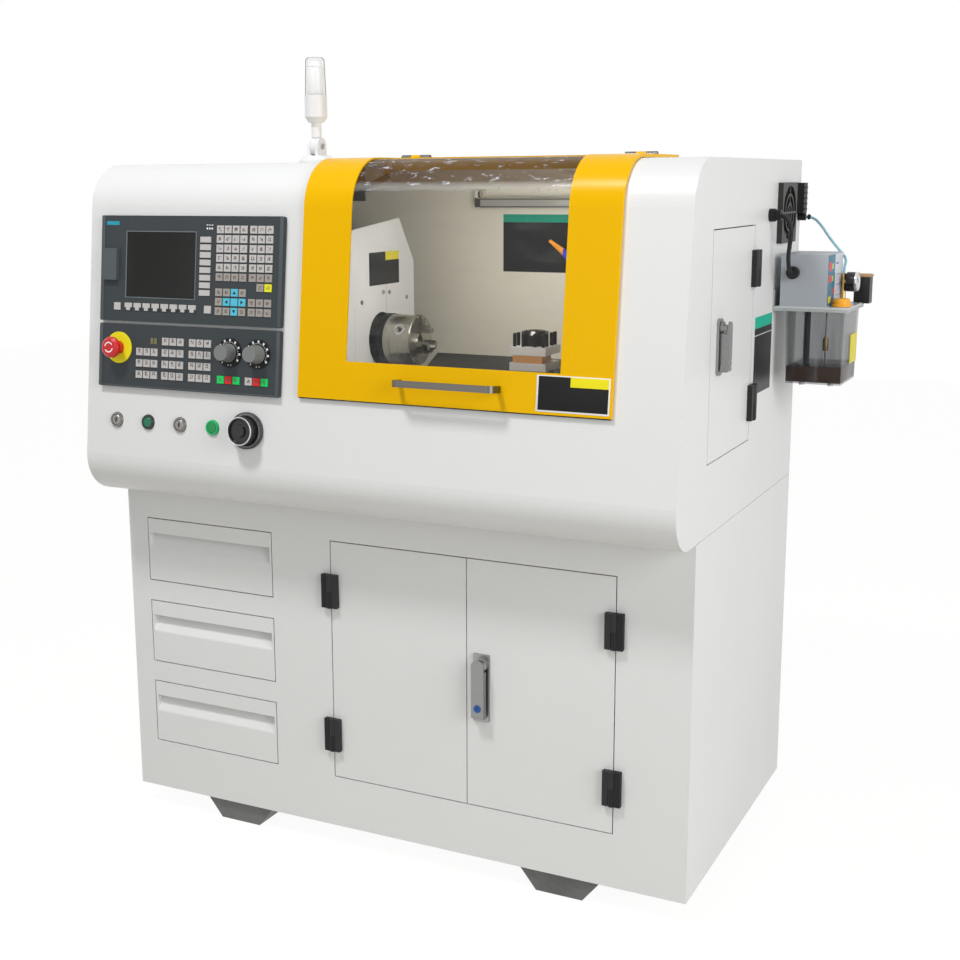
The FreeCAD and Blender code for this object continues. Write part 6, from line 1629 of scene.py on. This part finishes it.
@dataclass
class SideFittings:
    """Fins of the outlet box on the right wall."""

    fins: int = 5
    pitch: float = 10.5
    lowest: float = 1240.0
    face: float = 614.0

    def build(self) -> None:
        """The fins, modelled once."""
        fin = Piece("outlet_fins", BLACK, "black_plastic")
        fin.block((299.5, 0, -0.3), (324.5, 3.0, 1.6)).soften(0.4)
        rows = (self.lowest + self.pitch * i for i in range(self.fins))
        fin.at(*(seat(Plane.SIDE, 0, row, self.face) for row in rows)).done()


@dataclass
class OilPump:
    """Film, gauge, lid and the inside of the oil tank."""

    front: float = 702.0
    tank_front: float = 735.0
    gauge_place: Point = (250.0, 1104.0, 735.0)
    needle_turn: float = 0.9
    pickup: Spot = (655.0, 190.0)
    level: Spot = (690.0, 196.0)
    drains: Spot = (652.5, 707.5)
    low: float = 926.0
    shelf: float = 1059.5

    def films(self) -> None:
        """The printed film on the pump's box and the bare plate on the tank."""
        film = Piece("pump_front_film", PUMP_FILM, "label_film")
        film.block((131.5, 1065, -0.2), (264.5, 1159.5, 0.4)).soften(0.15)
        film.at(seat(Plane.SIDE, 0, 0, self.front)).done()
        plate = Piece("tank_plate", TANK_PLATE, "label_film")
        plate.block((204, 950, -0.2), (266, 1006, 0.5)).soften(0.2)
        plate.at(seat(Plane.SIDE, 0, 0, self.tank_front)).done()

    def gauge(self) -> None:
        """A bright bezel, a pale face and its needle."""
        place = seat(Plane.SIDE, *self.gauge_place)
        bezel = Piece("gauge_bezel", CHROME, "chrome").tube(19.4, 16.7, -4, 1.6)
        bezel.soften(0.6).at(place).done()
        face = Piece("gauge_face", TICK, "key_plastic").drum(16.9, -1.2, 0.7, 48)
        face.sink(1.5, -0.3).soften(0.15).at(place).done()
        needle = Piece("gauge_needle", BLACK, "black_plastic")
        needle.block((-0.6, -3, 0.3), (0.6, 11, 1.0)).soften(0.1)
        needle.at(place @ Matrix.Rotation(self.needle_turn, 4, "Z")).done()

    def tank_inside(self) -> None:
        """Oil, the pickup pipe with its strainer, the level rod with its float, the drains."""
        oil = Piece("tank_oil", OIL, "black_plastic")
        oil.block((628.4, 141.4, 918.4), (731.6, 272.6, 948))
        oil.sink(3.0, 0.6).soften(1.5).at(seat(Plane.LEVEL)).done()
        pickup, level = seat(Plane.LEVEL, *self.pickup), seat(Plane.LEVEL, *self.level)
        pipe = Piece("pickup_pipe", BLACK, "black_plastic").drum(6.0, self.low, self.shelf, 32)
        pipe.soften(0.6).at(pickup).done()
        strainer = Piece("pickup_strainer", BRASS, "sheet_steel").drum(14, self.low, 940, 32)
        strainer.sink(3, 6).soften(0.8).at(pickup).done()
        rod = Piece("level_rod", ZINC, "sheet_steel").drum(1.4, self.low, self.shelf, 16)
        rod.soften(0.2).at(level).done()
        bob = Piece("level_float", BRASS, "sheet_steel").drum(5.6, 974, 998, 24)
        bob.sink(1.6, 3).soften(0.6).at(level).done()
        drain = Piece("drain_caps", ALUMINIUM, "aluminium").drum(5.4, 909.1, 914.8, 24)
        drain.sink(1.0, 0.15).soften(0.5)
        drain.at(*(seat(Plane.LEVEL, x, 172.5) for x in self.drains)).done()

    def build(self) -> None:
        """Everything on the pump."""
        self.films()
        self.gauge()
        self.tank_inside()
        lid = Piece("terminal_lid", TAN, "orange_plastic")
        lid.block((720.8, 281.8, 1111.5), (753.2, 314.2, 1116))
        lid.sink(2.0, 0.8).soften(0.6).at(seat(Plane.LEVEL)).done()


@dataclass
class Beacon:
    """The pale tube in the lens and the joint's screw."""

    middle: Spot = (-182.0, -240.0)
    tube_radius: float = 15.5
    tube_span: Spot = (1462.0, 1512.0)
    joint: Point = (-240.0, 1367.0, -170.5)

    def build(self) -> None:
        """The tube rides on the lamp."""
        tube = Piece("beacon_inner_tube", DIFFUSER, "key_plastic", "beacon")
        tube.drum(self.tube_radius, *self.tube_span)
        tube.sink(1.2, 8).sink(2.5, 2).soften(0.8)
        tube.at(seat(Plane.LEVEL, *self.middle)).done()
        screw = Piece("beacon_screw", NICKEL, "sheet_steel").drum(5.5, -0.3, 2.2, 24)
        screw.sink(1.6, -0.9).soften(0.4).at(seat(Plane.SIDE, *self.joint)).done()


@dataclass
class Solids:
    """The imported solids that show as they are, each with its finish."""

    finishes: tuple[tuple[Finish, str], ...] = (
        (WHITE, "cabinet_shell hood_shell drawer_bottom drawer_middle drawer_top"),
        (DOOR_LEFT, "cabinet_door_left"), (DOOR_RIGHT, "cabinet_door_right"),
        (DOOR_SIDE, "side_door"), (FOOT_STEEL, "feet"), (BLACK, "hinge_leaves cable_glands"),
        (ZINC, "cabinet_latch"), (LEVER_STEEL, "cabinet_lever side_latch side_lever"),
        (YELLOW, "guard_door"), (PANE, "guard_window"), (HANDLE_STEEL, "guard_handle"),
        (DARK_STEEL, "guard_hinges strut_brackets strut_barrels cross_slide"),
        (GROUND, "strut_rods"), (IRON, "lathe_bed headstock spindle_motor saddle"),
        (LINERS, "splash_panels"), (DISPLAY, "display_panel"), (CONTROL, "control_panel"),
        (KEYS, "panel_keys"), (DIALS, "dial_plates"), (BEZELS, "switch_bezels"),
        (STOP_RED, "estop_button"), (KNOB_GREY, "feed_knob speed_knob"),
        (BLACK_GLOSS, "handwheel"), (KEY_METAL, "key_switch_power key_switch_mode"),
        (DARK_GREEN, "start_button"), (RESET_GREEN, "reset_button"),
        (FAN_BLACK, "fan_cover"), (PLATES, "label_plates"), (RUBBER, "drive_belt"),
        (BLACK_OXIDE, "spindle"), (CHUCK_STEEL, "chuck_body"),
        (JAW_STEEL, "chuck_jaw_1 chuck_jaw_2 chuck_jaw_3"), (TURRET, "turret_head"),
        (LAMP_BODY, "work_lamp"), (HOSE, "coolant_hose"), (BEACON, "beacon_base beacon_lamp"),
        (SHELF_GREY, "pump_bracket"), (TANK, "pump_tank"), (PUMP_CASE, "pump_unit"),
        (ORANGE, "filler_cap"),
    )

    def dress(self, node: str, finish: Finish) -> None:
        """Give one solid its finish.

        Args:
            node: the solid's name.
            finish: what its surface is.
        """
        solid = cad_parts[node]
        solid.data.materials.clear()
        solid.data.materials.append(finish.material())
        LOG.info("%s has %s", node, finish.name)

    def build(self) -> None:
        """Dress every solid."""
        for finish, nodes in self.finishes:
            for node in nodes.split():
                self.dress(node, finish)


def main() -> None:
    """Build the studio and the machine."""
    logging.basicConfig(level=logging.INFO)
    for assembly in (
        Studio(), Cords(), Solids(), OperatorPanels(), GuardTrim(), LatchLocks(),
        MachiningSpace(), SideFittings(), OilPump(), Beacon(),
    ):
        assembly.build()
        LOG.info("%s is done", type(assembly).__name__)


if __name__ == "__main__":
    main()
